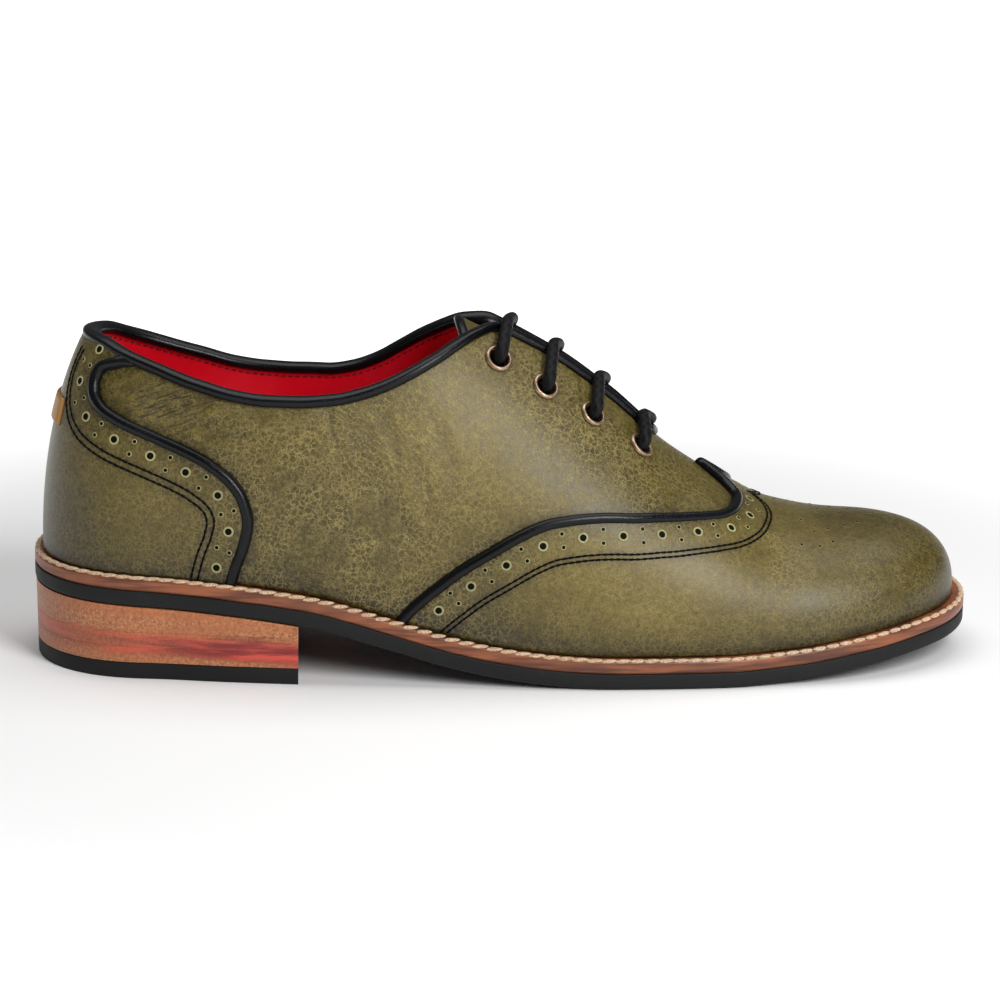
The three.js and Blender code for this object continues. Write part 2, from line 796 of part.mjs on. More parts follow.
add("heel_counter", "upper_leather", heelCounter());

// Binding folded over the topline, one closed loop.
function bindingPlaces() {
  const half = UPPER_ROUNDS.filter((round) => atOf(round) < THROAT_END - 1e-9);
  const outer = half.map((round) => [-round, topline(-round)]);
  const inner = half.slice(1).map((round) => [round, topline(round)]);
  return [...outer, [roundOf(-1, THROAT_END), 1], ...inner.reverse()];
}

function binding() {
  const places = bindingPlaces();
  const count = places.length;
  return sweep(places.map((place, i) => {
    const before = bare(...places[(i + count - 1) % count]);
    const after = bare(...places[(i + 1) % count]);
    const along = after.sub(before).normalize();
    const down = new THREE.Vector3().crossVectors(along, normal(...place)).normalize();
    const at = (distance, off) => skin(...moved(place, down, distance), off);
    const top = (off, above) => skin(...place, off).addScaledVector(down, -above);
    const outside = GAP + BINDING_THICK;
    const inside = -WALL - OVERLAY_GAP - BINDING_THICK;
    return [
      at(BINDING_OUTSIDE, GAP),
      at(BINDING_OUTSIDE, GAP + BINDING_THICK * 0.6),
      at(BINDING_OUTSIDE * 0.5, outside),
      top(outside * 0.85, GAP),
      top(-WALL / 2, GAP + BINDING_THICK),
      top(inside + outside * 0.15, GAP),
      at(BINDING_INSIDE, inside),
      at(BINDING_INSIDE, -WALL - OVERLAY_GAP),
      top(-WALL - OVERLAY_GAP, GAP),
      top(GAP, GAP),
      at(BINDING_OUTSIDE * 0.5, GAP),
    ];
  }), true);
}

add("topline_binding", "piping_leather", binding());

// Tongue under the facings and clear of their binding.
const TONGUE_TOP = -WALL - BINDING_THICK - 2 * OVERLAY_GAP;

const tongueDip = smooth([TONGUE_FROM, 0.5, 0.57], [1, 0.5, 0]);

function tongue() {
  const stations = spread(10, roundOf(1, TONGUE_FROM), roundOf(1, TONGUE_TO));
  const faces = [TONGUE_TOP, TONGUE_TOP - TONGUE_THICK].map((off) => {
    return stations.map((round) => spread(8, -1, 1).map((across) => {
      const up = 1 - Math.abs(across) * (1 - TONGUE_SIDE);
      const dip = TONGUE_DIP * (1 - across ** 2) * tongueDip(atOf(round));
      return skin(across < 0 ? -round : round, up, off - dip);
    }));
  });
  return shell(...faces);
}

add("tongue", "upper_leather", tongue());

// Plain tab over the back seam.
function heelTab() {
  const half = (TAB_WIDE / 2) / (Math.PI * 0.31 * BALL);
  const lift = OVERLAY_GAP + OVERLAY + GAP;
  const faces = [lift, lift + TAB_THICK].map((off) => spread(6, -half, half).map((round) => {
    return spread(3, ...TAB_SPAN).map((share) => skin(round, share * topline(round), off));
  }));
  return shell(...faces);
}

add("heel_tab", "tab_leather", heelTab());

// Eyelets and the laces that cross the throat between them.
function eyelet(place) {
  const frame = frameAt(place);
  const profile = [
    [EYELET_BORE, -WALL - BARREL_END],
    [EYELET_BARREL, -WALL - BARREL_END],
    [EYELET_BARREL, GAP],
    [EYELET_FLANGE, GAP],
    [EYELET_FLANGE - 0.5, GAP + FLANGE_THICK],
    [EYELET_BORE + 0.5, GAP + FLANGE_THICK],
    [EYELET_BORE, GAP],
  ];
  const rings = profile.map(([radius, height]) => circle(frame, radius, height, 10));
  return sweep(rings[0].map((_, i) => rings.map((ring) => ring[i])), true);
}

["outer", "inner"].forEach((name, i) => {
  EYELET_PLACES[i].forEach((place, k) => {
    add(`eyelet_${name}_${k + 1}`, "eyelet_metal", eyelet(place));
  });
});

// Down the crest towards the toe.
function toeward(x) {
  return new THREE.Vector3(4, 0, crestHeight(x + 2) - crestHeight(x - 2)).normalize();
}

function laceCentre(k) {
  const bowed = (point, share) => point.addScaledVector(toeward(point.x), LACE_BOW * share);
  const half = (i) => {
    const place = EYELET_PLACES[i][k];
    const { middle, axis } = frameAt(place);
    const turned = bare(place[0], place[1] + 0.02).sub(middle);
    const inward = turned.addScaledVector(axis, -turned.dot(axis)).normalize();
    const reach = spread(4, 0, Math.PI / 2).map((angle) => middle.clone()
      .addScaledVector(axis, LACE_LIFT - LACE_BEND * (1 - Math.sin(angle)))
      .addScaledVector(inward, LACE_BEND * (1 - Math.cos(angle))));
    const low = middle.clone().addScaledVector(axis, -WALL);
    const edge = topline(place[0]);
    const over = [[0.35, 0.25], [0.7, 0.7], [1, 0.95]].map(([share, bow]) => {
      return bowed(skin(place[0], place[1] + (edge - place[1]) * share, LACE_LIFT), bow);
    });
    return [low, ...reach, ...over];
  };
  // Over the throat the lace runs from facing to facing, bowed towards the toe.
  const outer = half(0);
  const inner = half(1);
  const middle = bowed(outer[outer.length - 1].clone().lerp(inner[inner.length - 1], 0.5), 0.05);
  return [...outer, middle, ...inner.reverse()];
}

function laceBar(k) {
  const centre = laceCentre(k);
  const side = new THREE.Vector3(1, 0, 0);
  return sweep(centre.map((point, i) => {
    const before = centre[Math.max(i - 1, 0)];
    const after = centre[Math.min(i + 1, centre.length - 1)];
    const along = after.clone().sub(before).normalize();
    const across = side.clone().addScaledVector(along, -side.dot(along)).normalize();
    const other = new THREE.Vector3().crossVectors(along, across);
    return circle({ middle: point, axis: along, across, other }, LACE, 0, 6);
  }));
}

spread(3).forEach((_, k) => add(`lace_bar_${k + 1}`, "lace_cord", laceBar(k)));

// The origin lies under the middle of the shoe, on the floor.
const box = new THREE.Box3().setFromObject(shoe);
shoe.children.forEach((mesh) => {
  mesh.geometry.translate(-(box.min.x + box.max.x) / 2, -(box.min.y + box.max.y) / 2, -box.min.z);
});

export default shoe;
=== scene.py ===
import math

import bmesh
import bpy
import numpy as np
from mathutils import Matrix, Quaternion, Vector


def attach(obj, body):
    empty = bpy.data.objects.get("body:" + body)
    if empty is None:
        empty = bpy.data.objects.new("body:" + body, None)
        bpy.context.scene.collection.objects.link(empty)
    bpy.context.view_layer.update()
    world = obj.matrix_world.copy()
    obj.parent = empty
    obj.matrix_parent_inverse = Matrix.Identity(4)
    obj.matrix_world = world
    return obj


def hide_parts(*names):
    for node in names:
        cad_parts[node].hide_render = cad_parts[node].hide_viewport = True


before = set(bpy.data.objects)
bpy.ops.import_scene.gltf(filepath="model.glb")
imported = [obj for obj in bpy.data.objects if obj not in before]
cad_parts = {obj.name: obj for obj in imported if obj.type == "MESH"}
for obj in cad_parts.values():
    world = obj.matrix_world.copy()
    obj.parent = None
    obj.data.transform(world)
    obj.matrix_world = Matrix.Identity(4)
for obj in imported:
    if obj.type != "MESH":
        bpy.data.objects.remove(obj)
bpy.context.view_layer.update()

# Looks of a right wing-tip lace-up shoe. Lengths below are millimetres until a mesh is made.
MM = 0.001

# Sizes, as in the part.
LENGTH = 275.0
BALL = 88.0
RISE = 92.0
HEEL = 22.3
SPRING = 8.0
OUTSOLE_THICK = 4.8
OUTSOLE_BEVEL = 1.3
WELT_THICK = 3.7
WELT_BITE = 3.0
HEEL_MARGIN = 3.8
WAIST_MARGIN = 3.6
TOE_MARGIN = 5.0
HEEL_LENGTH = 0.2765
HEEL_SET_IN = 0.3
HEEL_TAPER = 0.4
TOP_PIECE_THICK = 4.8
LIFT_THICK = 4.6
MIDDLE_LIFT_THICK = 4.3
INSOLE_CLEAR = 0.4
INSOLE_PROUD = 1.0
WALL = 2.2
LEATHER = 1.15  # outer leather of the wall; the rest is lining
OVERLAY_TOP = 1.4
PIPING_HALF = 1.7
PIPING_TOP = 2.4
BINDING_THICK = 1.1
BINDING_OUTSIDE = 2.5
BINDING_INSIDE = 1.5
TONGUE_TOP = -3.8
TONGUE_DIP = 2.0
TONGUE_THICK = 2.0
TAB_WIDE = 10.0
TAB_THICK = 0.8
TAB_LOW, TAB_HIGH = 0.53, 0.645
EYELET_BORE = 2.75
EYELET_RIM = 4.1
EYELET_HOLE = 3.1
LACE = 1.85
LACE_LIFTS = (3.3, 3.1, 2.8, 2.6)
LACE_BEND = 2.3
LACE_LEAN = 0.014
LACE_BOWS = (2.0, 2.0, 1.8, 0.4)
TONGUE_BEAD = 1.5
WELT_ROUND = 0.9

SIDES = (-1, 1)  # outer, inner
MERGE = 0.004  # points closer than this are joined
SHARP_ANGLE = math.radians(35)
FIRST_COLUMN, LAST_COLUMN = (slice(None), 0), (slice(None), -1)
FLOOR = 6.0
EYE_AWAY, EYE_HIGH = 0.906, 0.275

# Underside of the outsole: place along the shoe, share of HEEL, share of SPRING.
SOLE_ROWS = [
    (0, 1, 0),
    (0.15, 0.925, 0),
    (0.28, 0.76, 0),
    (0.375, 0.45, 0),
    (0.43, 0.255, 0),
    (0.49, 0.11, 0),
    (0.55, 0.03, 0),
    (0.6, 0, 0),
    (0.72, 0, 0),
    (0.79, 0, 0.14),
    (0.86, 0, 0.42),
    (0.93, 0, 0.74),
    (1, 0, 1),
]
LAST_COLUMNS = ["at", "outer", "inner", "drift", "crest", "rise", "crown", "wall", "belly", "arch"]
LAST_ROWS = [
    (0, 0.335, 0.335, 0, 0.108, 0.845, 1.75, 2, 0.01, 0.01),
    (0.1, 0.345, 0.335, 0, 0.14, 0.87, 1.9, 2, 0.02, 0.025),
    (0.2, 0.385, 0.33, -0.008, 0.21, 0.93, 2, 2.2, 0.03, 0.05),
    (0.3, 0.415, 0.29, -0.016, 0.3, 0.975, 2, 2.4, 0.03, 0.11),
    (0.4, 0.435, 0.245, -0.018, 0.4, 1.04, 2.1, 2.4, 0.03, 0.2),
    (0.475, 0.455, 0.262, -0.016, 0.475, 0.972, 2.1, 2.3, 0.03, 0.17),
    (0.55, 0.477, 0.324, -0.008, 0.55, 0.868, 2, 2.2, 0.03, 0.09),
    (0.61, 0.491, 0.378, 0.001, 0.61, 0.742, 1.9, 2.2, 0.03, 0.055),
    (0.67, 0.496, 0.425, 0.01, 0.67, 0.584, 1.9, 2.2, 0.03, 0.038),
    (0.72, 0.492, 0.452, 0.014, 0.716, 0.484, 2, 2.2, 0.03, 0.03),
    (0.8, 0.468, 0.463, 0.024, 0.783, 0.339, 2.2, 2.3, 0.02, 0.02),
    (0.88, 0.45, 0.45, 0.036, 0.838, 0.271, 2.6, 2.5, 0.01, 0.01),
    (0.95, 0.44, 0.44, 0.045, 0.863, 0.262, 3, 2.9, 0, 0),
    (1, 0.44, 0.44, 0.048, 0.87, 0.256, 3.1, 3, 0, 0),
]
HEEL_ROUND, TOE_ROUND = 0.115, 0.2
HEEL_POWER, TOE_POWER = 2.15, 2.2
# Collar: place along the foot, height over the seat (RISE), outer and inner side.
COLLAR_ROWS = [
    (0, 0.697, 0.697),
    (0.03, 0.69, 0.688),
    (0.06, 0.671, 0.668),
    (0.11, 0.638, 0.636),
    (0.16, 0.604, 0.604),
    (0.2, 0.587, 0.58),
    (0.24, 0.588, 0.576),
    (0.273, 0.601, 0.585),
    (0.306, 0.628, 0.604),
    (0.333, 0.666, 0.638),
    (0.36, 0.715, 0.692),
    (0.387, 0.773, 0.764),
    (0.414, 0.836, 0.838),
    (0.434, 0.882, 0.884),
    (0.456, 0.922, 0.922),
]
# Throat: place along the foot, width from the middle to the outer and inner edge (BALL).
THROAT_ROWS = [
    (0.485, 0.108, 0.072),
    (0.51, 0.092, 0.073),
    (0.54, 0.079, 0.071),
    (0.57, 0.068, 0.065),
    (0.61, 0.057, 0.056),
    (0.638, 0.05, 0.05),
    (0.6525, 0.0365, 0.0365),
    (0.6585, 0, 0),
]
THROAT_END = 0.6585
# Seams: share of the rib, place along the foot.
WING_ROWS = [
    (0, 0.38),
    (0.055, 0.4145),
    (0.113, 0.447),
    (0.171, 0.479),
    (0.225, 0.5075),
    (0.27, 0.534),
    (0.305, 0.563),
    (0.343, 0.594),
    (0.378, 0.623),
    (0.435, 0.6535),
    (0.5, 0.6855),
    (0.555, 0.71),
    (0.615, 0.7305),
    (0.72, 0.7485),
    (0.845, 0.757),
    (0.92, 0.747),
    (0.97, 0.7295),
    (1, 0.719),
]
COUNTER_ROWS = [
    (0, 0.199),
    (0.07, 0.204),
    (0.165, 0.212),
    (0.287, 0.217),
    (0.405, 0.211),
    (0.487, 0.199),
    (0.56, 0.176),
    (0.605, 0.149),
    (0.632, 0.114),
    (0.655, 0.074),
    (0.685, 0.049),
    (0.73, 0.038),
    (0.79, 0.035),
    (0.85, 0.038),
    (0.89, 0.047),
    (0.915, 0.056),
    (0.94, 0.064),
    (0.985, 0.086),
]
COUNTER_TOP = 0.985
# Eyelets: place along the foot, distance from the edge of the facing.
EYELET_ROWS = [(0.483, 12.8), (0.534, 15.9), (0.586, 16.1), (0.64, 14.5)]
TONGUE_FROM, TONGUE_TO, TONGUE_SIDE = 0.458, 0.7, 0.66

# Where stitches and holes lie, measured in from the piping of the wing and of the counter.
WING_SEWING_IN = (10.1, 11.5)
COUNTER_SEWING_IN = (9.3, 11.3)
HOLES_IN = 5.0
PAIR_SPREAD = 1.9
WING_HOLES_FROM, WING_HOLE_PITCH = 8.0, 11.55
COUNTER_HOLES_FROM, COUNTER_HOLE_PITCH = 4.0, 11.1
SEWN_BELOW = 0.93  # share of the topline where the counter's rows end under the binding

# Rosette on the toe: places on its middle line, and pairs beside it.
ROSETTE_MIDDLE = (0, 7, -16, 20.5)
ROSETTE_PAIRS = [(1, 4.8), (16.6, 2.5), (11, 7.5), (6, 11.5), (-7, 12), (-12, 6)]
ROSETTE_PAIRS += [(0.6, 15), (-4, 18.6), (1, 22), (-3.5, 25), (-9, 26)]

# Painted highlights on the vamp, the facing and the cap, painted shade low on the quarter, and a
# darker patch on the facing: weight, height as a share of the leather or of the rib, and where.
FIELDS = ("tone", "crackle", "wrinkle", "fold")
PAINTED_LIGHT_SPOTS = [
    (0.12, "share", (0.46, 0.46, 0.09, 0.26)),
    (0.16, "rib", (0.64, 0.26, 0.14, 0.14)),
    (0.2, "share", (0.4, 0.75, 0.07, 0.2)),
    (0.2, "rib", (0.63, 0.1, 0.1, 0.1)),
    (-0.16, "share", (0.56, 0.75, 0.1, 0.3)),
    (-0.1, "share", (0.27, 0.3, 0.06, 0.3)),
]

# Creases of the worn-in leather, on both sides: two ends (at, share of the rib), depth, width.
CREASES = [
    ((0.075, 0.455), (0.130, 0.452), 0.39, 1.5),
    ((0.070, 0.435), (0.118, 0.428), 0.48, 1.5),
    ((0.088, 0.415), (0.150, 0.418), 0.42, 1.6),
    ((0.098, 0.396), (0.140, 0.388), 0.45, 1.5),
    ((0.110, 0.376), (0.175, 0.382), 0.48, 1.6),
    ((0.128, 0.356), (0.180, 0.350), 0.42, 1.6),
    ((0.150, 0.334), (0.205, 0.335), 0.42, 1.6),
    ((0.168, 0.310), (0.220, 0.300), 0.39, 1.8),
    ((0.140, 0.400), (0.190, 0.402), 0.33, 1.8),
    ((0.296, 0.400), (0.322, 0.220), 0.44, 2.2),
    ((0.318, 0.380), (0.345, 0.180), 0.55, 2.4),
    ((0.338, 0.350), (0.366, 0.150), 0.57, 2.4),
    ((0.352, 0.400), (0.390, 0.220), 0.42, 2.4),
    ((0.366, 0.260), (0.386, 0.120), 0.44, 2.2),
    ((0.385, 0.330), (0.412, 0.170), 0.39, 2.2),
    ((0.404, 0.420), (0.440, 0.270), 0.31, 2.4),
    ((0.782, 0.520), (0.788, 0.340), 0.16, 1.2),
    ((0.790, 0.500), (0.797, 0.300), 0.20, 1.2),
    ((0.800, 0.490), (0.806, 0.330), 0.14, 1.2),
]


def curve_through(rows, column=1):
    """A smooth curve through a few points that never overshoots them."""
    xs = np.array([row[0] for row in rows], float)
    ys = np.array([row[column] for row in rows], float)
    step, rise = np.diff(xs), np.diff(ys) / np.diff(xs)
    slope = np.zeros(len(xs))
    slope[0], slope[-1] = rise[0], rise[-1]
    for i in range(1, len(xs) - 1):
        if rise[i - 1] * rise[i] > 0:
            near, far = 2 * step[i] + step[i - 1], step[i] + 2 * step[i - 1]
            slope[i] = (near + far) / (near / rise[i - 1] + far / rise[i])

    def value(x):
        x = np.clip(x, xs[0], xs[-1])
        i = np.clip(np.searchsorted(xs, x) - 1, 0, len(xs) - 2)
        h = step[i]
        t = (x - xs[i]) / h
        start = (2 * t**3 - 3 * t**2 + 1) * ys[i] + (t**3 - 2 * t**2 + t) * h * slope[i]
        end = (3 * t**2 - 2 * t**3) * ys[i + 1] + (t**3 - t**2) * h * slope[i + 1]
        return start + end

    return value


LAST = {name: curve_through(LAST_ROWS, i) for i, name in enumerate(LAST_COLUMNS) if i}
SOLE_LIFT, SOLE_SPRING = curve_through(SOLE_ROWS, 1), curve_through(SOLE_ROWS, 2)
WING_LINE, COUNTER_LINE = curve_through(WING_ROWS), curve_through(COUNTER_ROWS)
MARGIN = curve_through(
    [(0, HEEL_MARGIN), (0.3, WAIST_MARGIN), (0.7, TOE_MARGIN), (1, TOE_MARGIN)]
)
LAST_START, LAST_LENGTH = HEEL_MARGIN, LENGTH - TOE_MARGIN - HEEL_MARGIN


def at_of(round_):
    return (1 - np.cos(np.pi * round_)) / 2


def round_of(side, at):
    return side * np.arccos(np.clip(1 - 2 * np.asarray(at, float), -1, 1)) / np.pi


def sole_under(x):
    return SOLE_LIFT(x / LENGTH) * HEEL + SOLE_SPRING(x / LENGTH) * SPRING


def welt_top(x):
    return sole_under(x) + OUTSOLE_THICK + WELT_THICK


def crest_height(x):
    return welt_top(x) + LAST["rise"]((x - LAST_START) / LAST_LENGTH) * RISE


def outline(round_):
    at = at_of(round_)
    back = np.clip(1 - at / HEEL_ROUND, 0, 1)
    front = np.clip((at - 1 + TOE_ROUND) / TOE_ROUND, 0, 1)
    taper = (1 - back**HEEL_POWER) ** (1 / HEEL_POWER) * (1 - front**TOE_POWER) ** (1 / TOE_POWER)
    outer = round_ < 0
    half = np.where(outer, LAST["outer"](at), LAST["inner"](at)) * BALL * taper
    return LAST_START + at * LAST_LENGTH, LAST["drift"](at) * BALL + np.where(outer, -half, half)


def outset(round_, margin):
    """The outline moved outwards by a margin, in plan."""
    round_ = np.asarray(round_, float)
    x, y = outline(round_)
    xa, ya = outline(np.maximum(round_ - 1e-3, -1))
    xb, yb = outline(np.minimum(round_ + 1e-3, 1))
    length = np.hypot(xb - xa, yb - ya) + 1e-12
    nx, ny = -(yb - ya) / length, (xb - xa) / length
    heel, toe = np.abs(round_) < 1e-6, np.abs(round_) > 1 - 1e-6
    nx = np.where(heel, -1, np.where(toe, 1, nx))
    ny = np.where(heel | toe, 0, ny)
    return x + nx * margin, y + ny * margin


def bare(round_, up):
    """The surface of the last, from the feather edge at up 0 to the crest at up 1."""
    r, u = np.broadcast_arrays(np.asarray(round_, float), np.maximum(np.asarray(up, float), 0))
    over = u > 1
    r, u = np.where(over, -r, r), np.where(over, 2 - u, u)
    r = np.where(r > 1, r - 2, np.where(r < -1, r + 2, r))
    at = at_of(r)
    x, y = outline(r)
    foot = welt_top(x) + 0.3
    crest = LAST["crest"](at)
    cx, cy = LAST_START + crest * LAST_LENGTH, LAST["drift"](crest) * BALL
    cz = crest_height(cx)
    turn = u * np.pi / 2
    inward = np.maximum(np.cos(turn), 0) ** (2 / LAST["crown"](at))
    upward = np.sin(turn) ** (2 / LAST["wall"](at))
    swell = np.where(r < 0, LAST["belly"](at), LAST["arch"](at))
    out = inward * (1 + swell * np.sin(np.pi * np.clip(u / 0.62, 0, 1)))
    slope = np.where(at > 0.5, (crest_height(cx + 2) - crest_height(cx - 2)) / 4, 0)
    z = foot + (cz - foot) * upward + slope * (x - cx) * out * upward
    return np.stack([cx + (x - cx) * out, cy + (y - cy) * out, z], -1)


def unit(v):
    return v / (np.linalg.norm(v, axis=-1, keepdims=True) + 1e-12)


def tangents(round_, up):
    d = 1e-3
    low = np.maximum(np.asarray(up, float) - d, 0)
    along = (bare(round_ + d, up) - bare(round_ - d, up)) / (2 * d)
    rising = (bare(round_, up + d) - bare(round_, low)) / (up + d - low)[..., None]
    return along, rising


def normals(round_, up):
    round_, up = np.broadcast_arrays(np.asarray(round_, float), np.asarray(up, float))
    along, rising = tangents(round_, up)
    out = np.cross(rising, along)
    out[..., 2] = np.where(up < 1e-6, 0, out[..., 2])
    x = bare(round_, 1.0)[..., 0]
    slope = (crest_height(x + 2) - crest_height(x - 2)) / 4
    ridge = np.stack([-slope, np.zeros_like(slope), np.ones_like(slope)], -1)
    return unit(np.where((up > 1 - 1e-6)[..., None], ridge, out))


def relief(points):
    """Soft troughs of the creases, the same under every layer of leather."""
    depth = np.zeros(points.shape[:-1])
    for start, end, deep, wide in CREASES:
        for side in SIDES:
            a = bare(round_of(side, start[0]), start[1])
            b = bare(round_of(side, end[0]), end[1])
            length = np.linalg.norm(b - a)
            t = np.clip(((points - a) @ (b - a)) / length**2, 0, 1)
            bow = np.sin(np.pi * t)
            off = points - a - t[..., None] * (b - a) - bow[..., None] * [0, 0, 0.8]
            d = np.linalg.norm(off, axis=-1)
            trough = np.exp(-((d / wide) ** 2)) - 0.45 * np.exp(-((d / wide / 2.2) ** 2))
            depth += deep * trough * np.sqrt(bow)
    return -depth


def skin(round_, up, off, creased=False):
    points = bare(round_, up)
    shift = np.asarray(off, float) + (relief(points) if creased else 0)
    return points + normals(round_, up) * np.asarray(shift)[..., None]


def moved(places, direction, distance, steps=4):
    """Places reached by walking over the surface in a given direction."""
    round_, up = (np.array(p, float) for p in places)
    for _ in range(steps):
        along, rising = tangents(round_, up)
        aa, ab, bb = (along * along).sum(-1), (along * rising).sum(-1), (rising * rising).sum(-1)
        da, db = (along * direction).sum(-1), (rising * direction).sum(-1)
        det = np.maximum(aa * bb - ab * ab, 1e-9)
        stride = distance / steps
        round_ = round_ + (da * bb - db * ab) / det * stride
        up = np.maximum(up + (db * aa - da * ab) / det * stride, 0)
    return round_, up


def solve(test):
    low, high = 0.0, 1.0
    for _ in range(40):
        middle = (low + high) / 2
        low, high = (middle, high) if test(middle) else (low, middle)
    return (low + high) / 2


def topline_of(side):
    rows = []
    for at, outer, inner in COLLAR_ROWS:
        r = round_of(side, at)
        height = welt_top(outline(r)[0]) + (outer if side < 0 else inner) * RISE
        rows.append((at, solve(lambda up: bare(r, up)[2] < height)))
    for at, outer, inner in THROAT_ROWS:
        r, half = round_of(side, at), outer if side < 0 else inner
        middle = bare(r, 1.0)[1]
        up = 1.0 if half == 0 else solve(lambda u: abs(bare(r, u)[1] - middle) > half * BALL)
        rows.append((at, up))
    return curve_through(rows)


TOPLINES = {side: topline_of(side) for side in SIDES}


def topline(round_):
    round_ = np.asarray(round_, float)
    at = at_of(round_)
    edge = np.where(round_ < 0, TOPLINES[-1](at), TOPLINES[1](at))
    return np.where(at >= THROAT_END, 1.0, edge)


# Where the part's frame lies: its origin is under the middle of the shoe.
rim = np.linspace(-1, 1, 77)
rim_y = outset(rim, MARGIN(at_of(rim)))[1]
ORIGIN = np.array([LENGTH / 2, (rim_y.min() + rim_y.max()) / 2, 0.0])


# Meshes. Patches of points are joined where they meet and turned to face outwards.
def patch(points, wrap_rows=False, wrap_columns=False):
    rows, columns = points.shape[:2]
    index = np.arange(rows * columns).reshape(rows, columns)
    if wrap_rows:
        index = np.vstack([index, index[:1]])
    if wrap_columns:
        index = np.hstack([index, index[:, :1]])
    faces = np.stack([index[:-1, :-1], index[1:, :-1], index[1:, 1:], index[:-1, 1:]], -1)
    return points.reshape(-1, 3), faces.reshape(-1, 4)


def add_object(name, data):
    made = bpy.data.objects.new(name, data)
    bpy.context.collection.objects.link(made)
    return made


def make(name, patches, material, fields=None):
    """One smooth closed mesh from patches of points in millimetres."""
    points, faces, start = [], [], 0
    for p, f in patches:
        points.append(p)
        faces.extend((np.asarray(f) + start).tolist())
        start += len(p)
    mesh = bpy.data.meshes.new(name)
    mesh.from_pydata((np.concatenate(points) - ORIGIN) * MM, [], faces)
    for field, values in (fields or {}).items():
        layer = mesh.attributes.new(field, "FLOAT", "POINT")
        layer.data.foreach_set("value", np.ascontiguousarray(values, dtype=np.float32))
    solid = bmesh.new()
    solid.from_mesh(mesh)
    bmesh.ops.remove_doubles(solid, verts=solid.verts, dist=MERGE * MM)
    bmesh.ops.dissolve_degenerate(solid, dist=1e-7, edges=solid.edges)
    bmesh.ops.recalc_face_normals(solid, faces=solid.faces)
    if solid.calc_volume(signed=True) < 0:
        bmesh.ops.reverse_faces(solid, faces=solid.faces)
    solid.to_mesh(mesh)
    solid.free()
    mesh.polygons.foreach_set("use_smooth", [True] * len(mesh.polygons))
    mesh.materials.append(material)
    return add_object(name, mesh)


def sharpen(piece):
    """Keeps hard edges hard on a smooth piece."""
    piece.data.set_sharp_from_angle(angle=SHARP_ANGLE)
    return piece


def shell(outer, inner):
    """Patches of a closed shell between two faces given as the same grid."""
    edges = (0, -1, FIRST_COLUMN, LAST_COLUMN)
    return [patch(outer), patch(inner), *[patch(np.stack([outer[e], inner[e]])) for e in edges]]


def tube(rings, closed=False):
    """Patches of a closed tube through rings of points."""
    body = patch(rings, wrap_rows=closed, wrap_columns=True)
    if closed:
        return [body]
    caps = [(ring, [list(range(rings.shape[1]))]) for ring in (rings[0], rings[-1])]
    return [body, *caps]


def bake(piece):
    """Turns the piece with its modifiers into a plain mesh."""
    graph = bpy.context.evaluated_depsgraph_get()
    mesh = bpy.data.meshes.new_from_object(piece.evaluated_get(graph))
    mesh.name = piece.name
    piece.modifiers.clear()
    piece.data = mesh
    return piece


def dress(piece, slot, *nodes):
    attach(piece, "root")
    if nodes:
        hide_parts(*nodes)
    return piece


# Node trees.
class Value:
    """An output of a node. Sums of values add maths nodes to its tree."""

    def __init__(self, tree, socket):
        self.tree, self.socket = tree, socket

    def maths(self, operation, other, clamp=False):
        settings = {"operation": operation, "use_clamp": clamp}
        return self.tree.add("Math", settings, _0=self, _1=other)

    def __add__(self, other):
        return self.maths("ADD", other)

    def __sub__(self, other):
        return self.maths("SUBTRACT", other)

    def __mul__(self, other):
        return self.maths("MULTIPLY", other)

    def band(self, low, high, to_low=0.0, to_high=1.0):
        """Runs softly from one value to another while this one goes from low to high."""
        settings = {"interpolation_type": "SMOOTHSTEP"}
        spans = {"_1": low, "_2": high, "_3": to_low, "_4": to_high}
        return self.tree.add("MapRange", settings, _0=self, **spans)


class Tree:
    """A node tree with short ways to add nodes, fed by numbers, colours and other values."""

    def __init__(self, tree):
        self.tree = tree

    def feed(self, socket, value):
        if isinstance(value, Value):
            self.tree.links.new(value.socket, socket)
        else:
            socket.default_value = value

    def add(self, kind, settings=None, output=0, **values):
        made = self.tree.nodes.new(kind if "Node" in kind else "ShaderNode" + kind)
        for key, value in (settings or {}).items():
            setattr(made, key, value)
        for key, value in values.items():
            label = int(key[1:]) if key[0] == "_" else key.replace("_", " ")
            self.feed(made.inputs[label], value)
        return Value(self, made.outputs[output])

    def outputs(self, kind, settings=None):
        """All outputs of a node by name."""
        made = self.tree.nodes.new(kind)
        for key, value in (settings or {}).items():
            setattr(made, key, value)
        return {socket.name: Value(self, socket) for socket in made.outputs}

    def mix(self, share, a, b):
        return self.add("Mix", {"data_type": "RGBA"}, 2, _0=share, _6=a, _7=b)

    def places(self, stretch=(1.0, 1.0, 1.0)):
        places = self.add("TexCoord", None, "Object")
        return self.add("Mapping", None, Vector=places, Scale=stretch)

    def noise(self, places, scale, detail, roughness=0.5, output=0):
        values = {"Vector": places, "Scale": scale, "Detail": detail, "Roughness": roughness}
        return self.add("TexNoise", None, output, **values)

    def field(self, name):
        return self.add("Attribute", {"attribute_name": name}, "Fac")

    def use(self, which, **values):
        """Adds a shader group and gives its outputs by name."""
        made = self.tree.nodes.new("ShaderNodeGroup")
        made.node_tree = which
        for key, value in values.items():
            self.feed(made.inputs[key], value)
        return {socket.name: Value(self, socket) for socket in made.outputs}


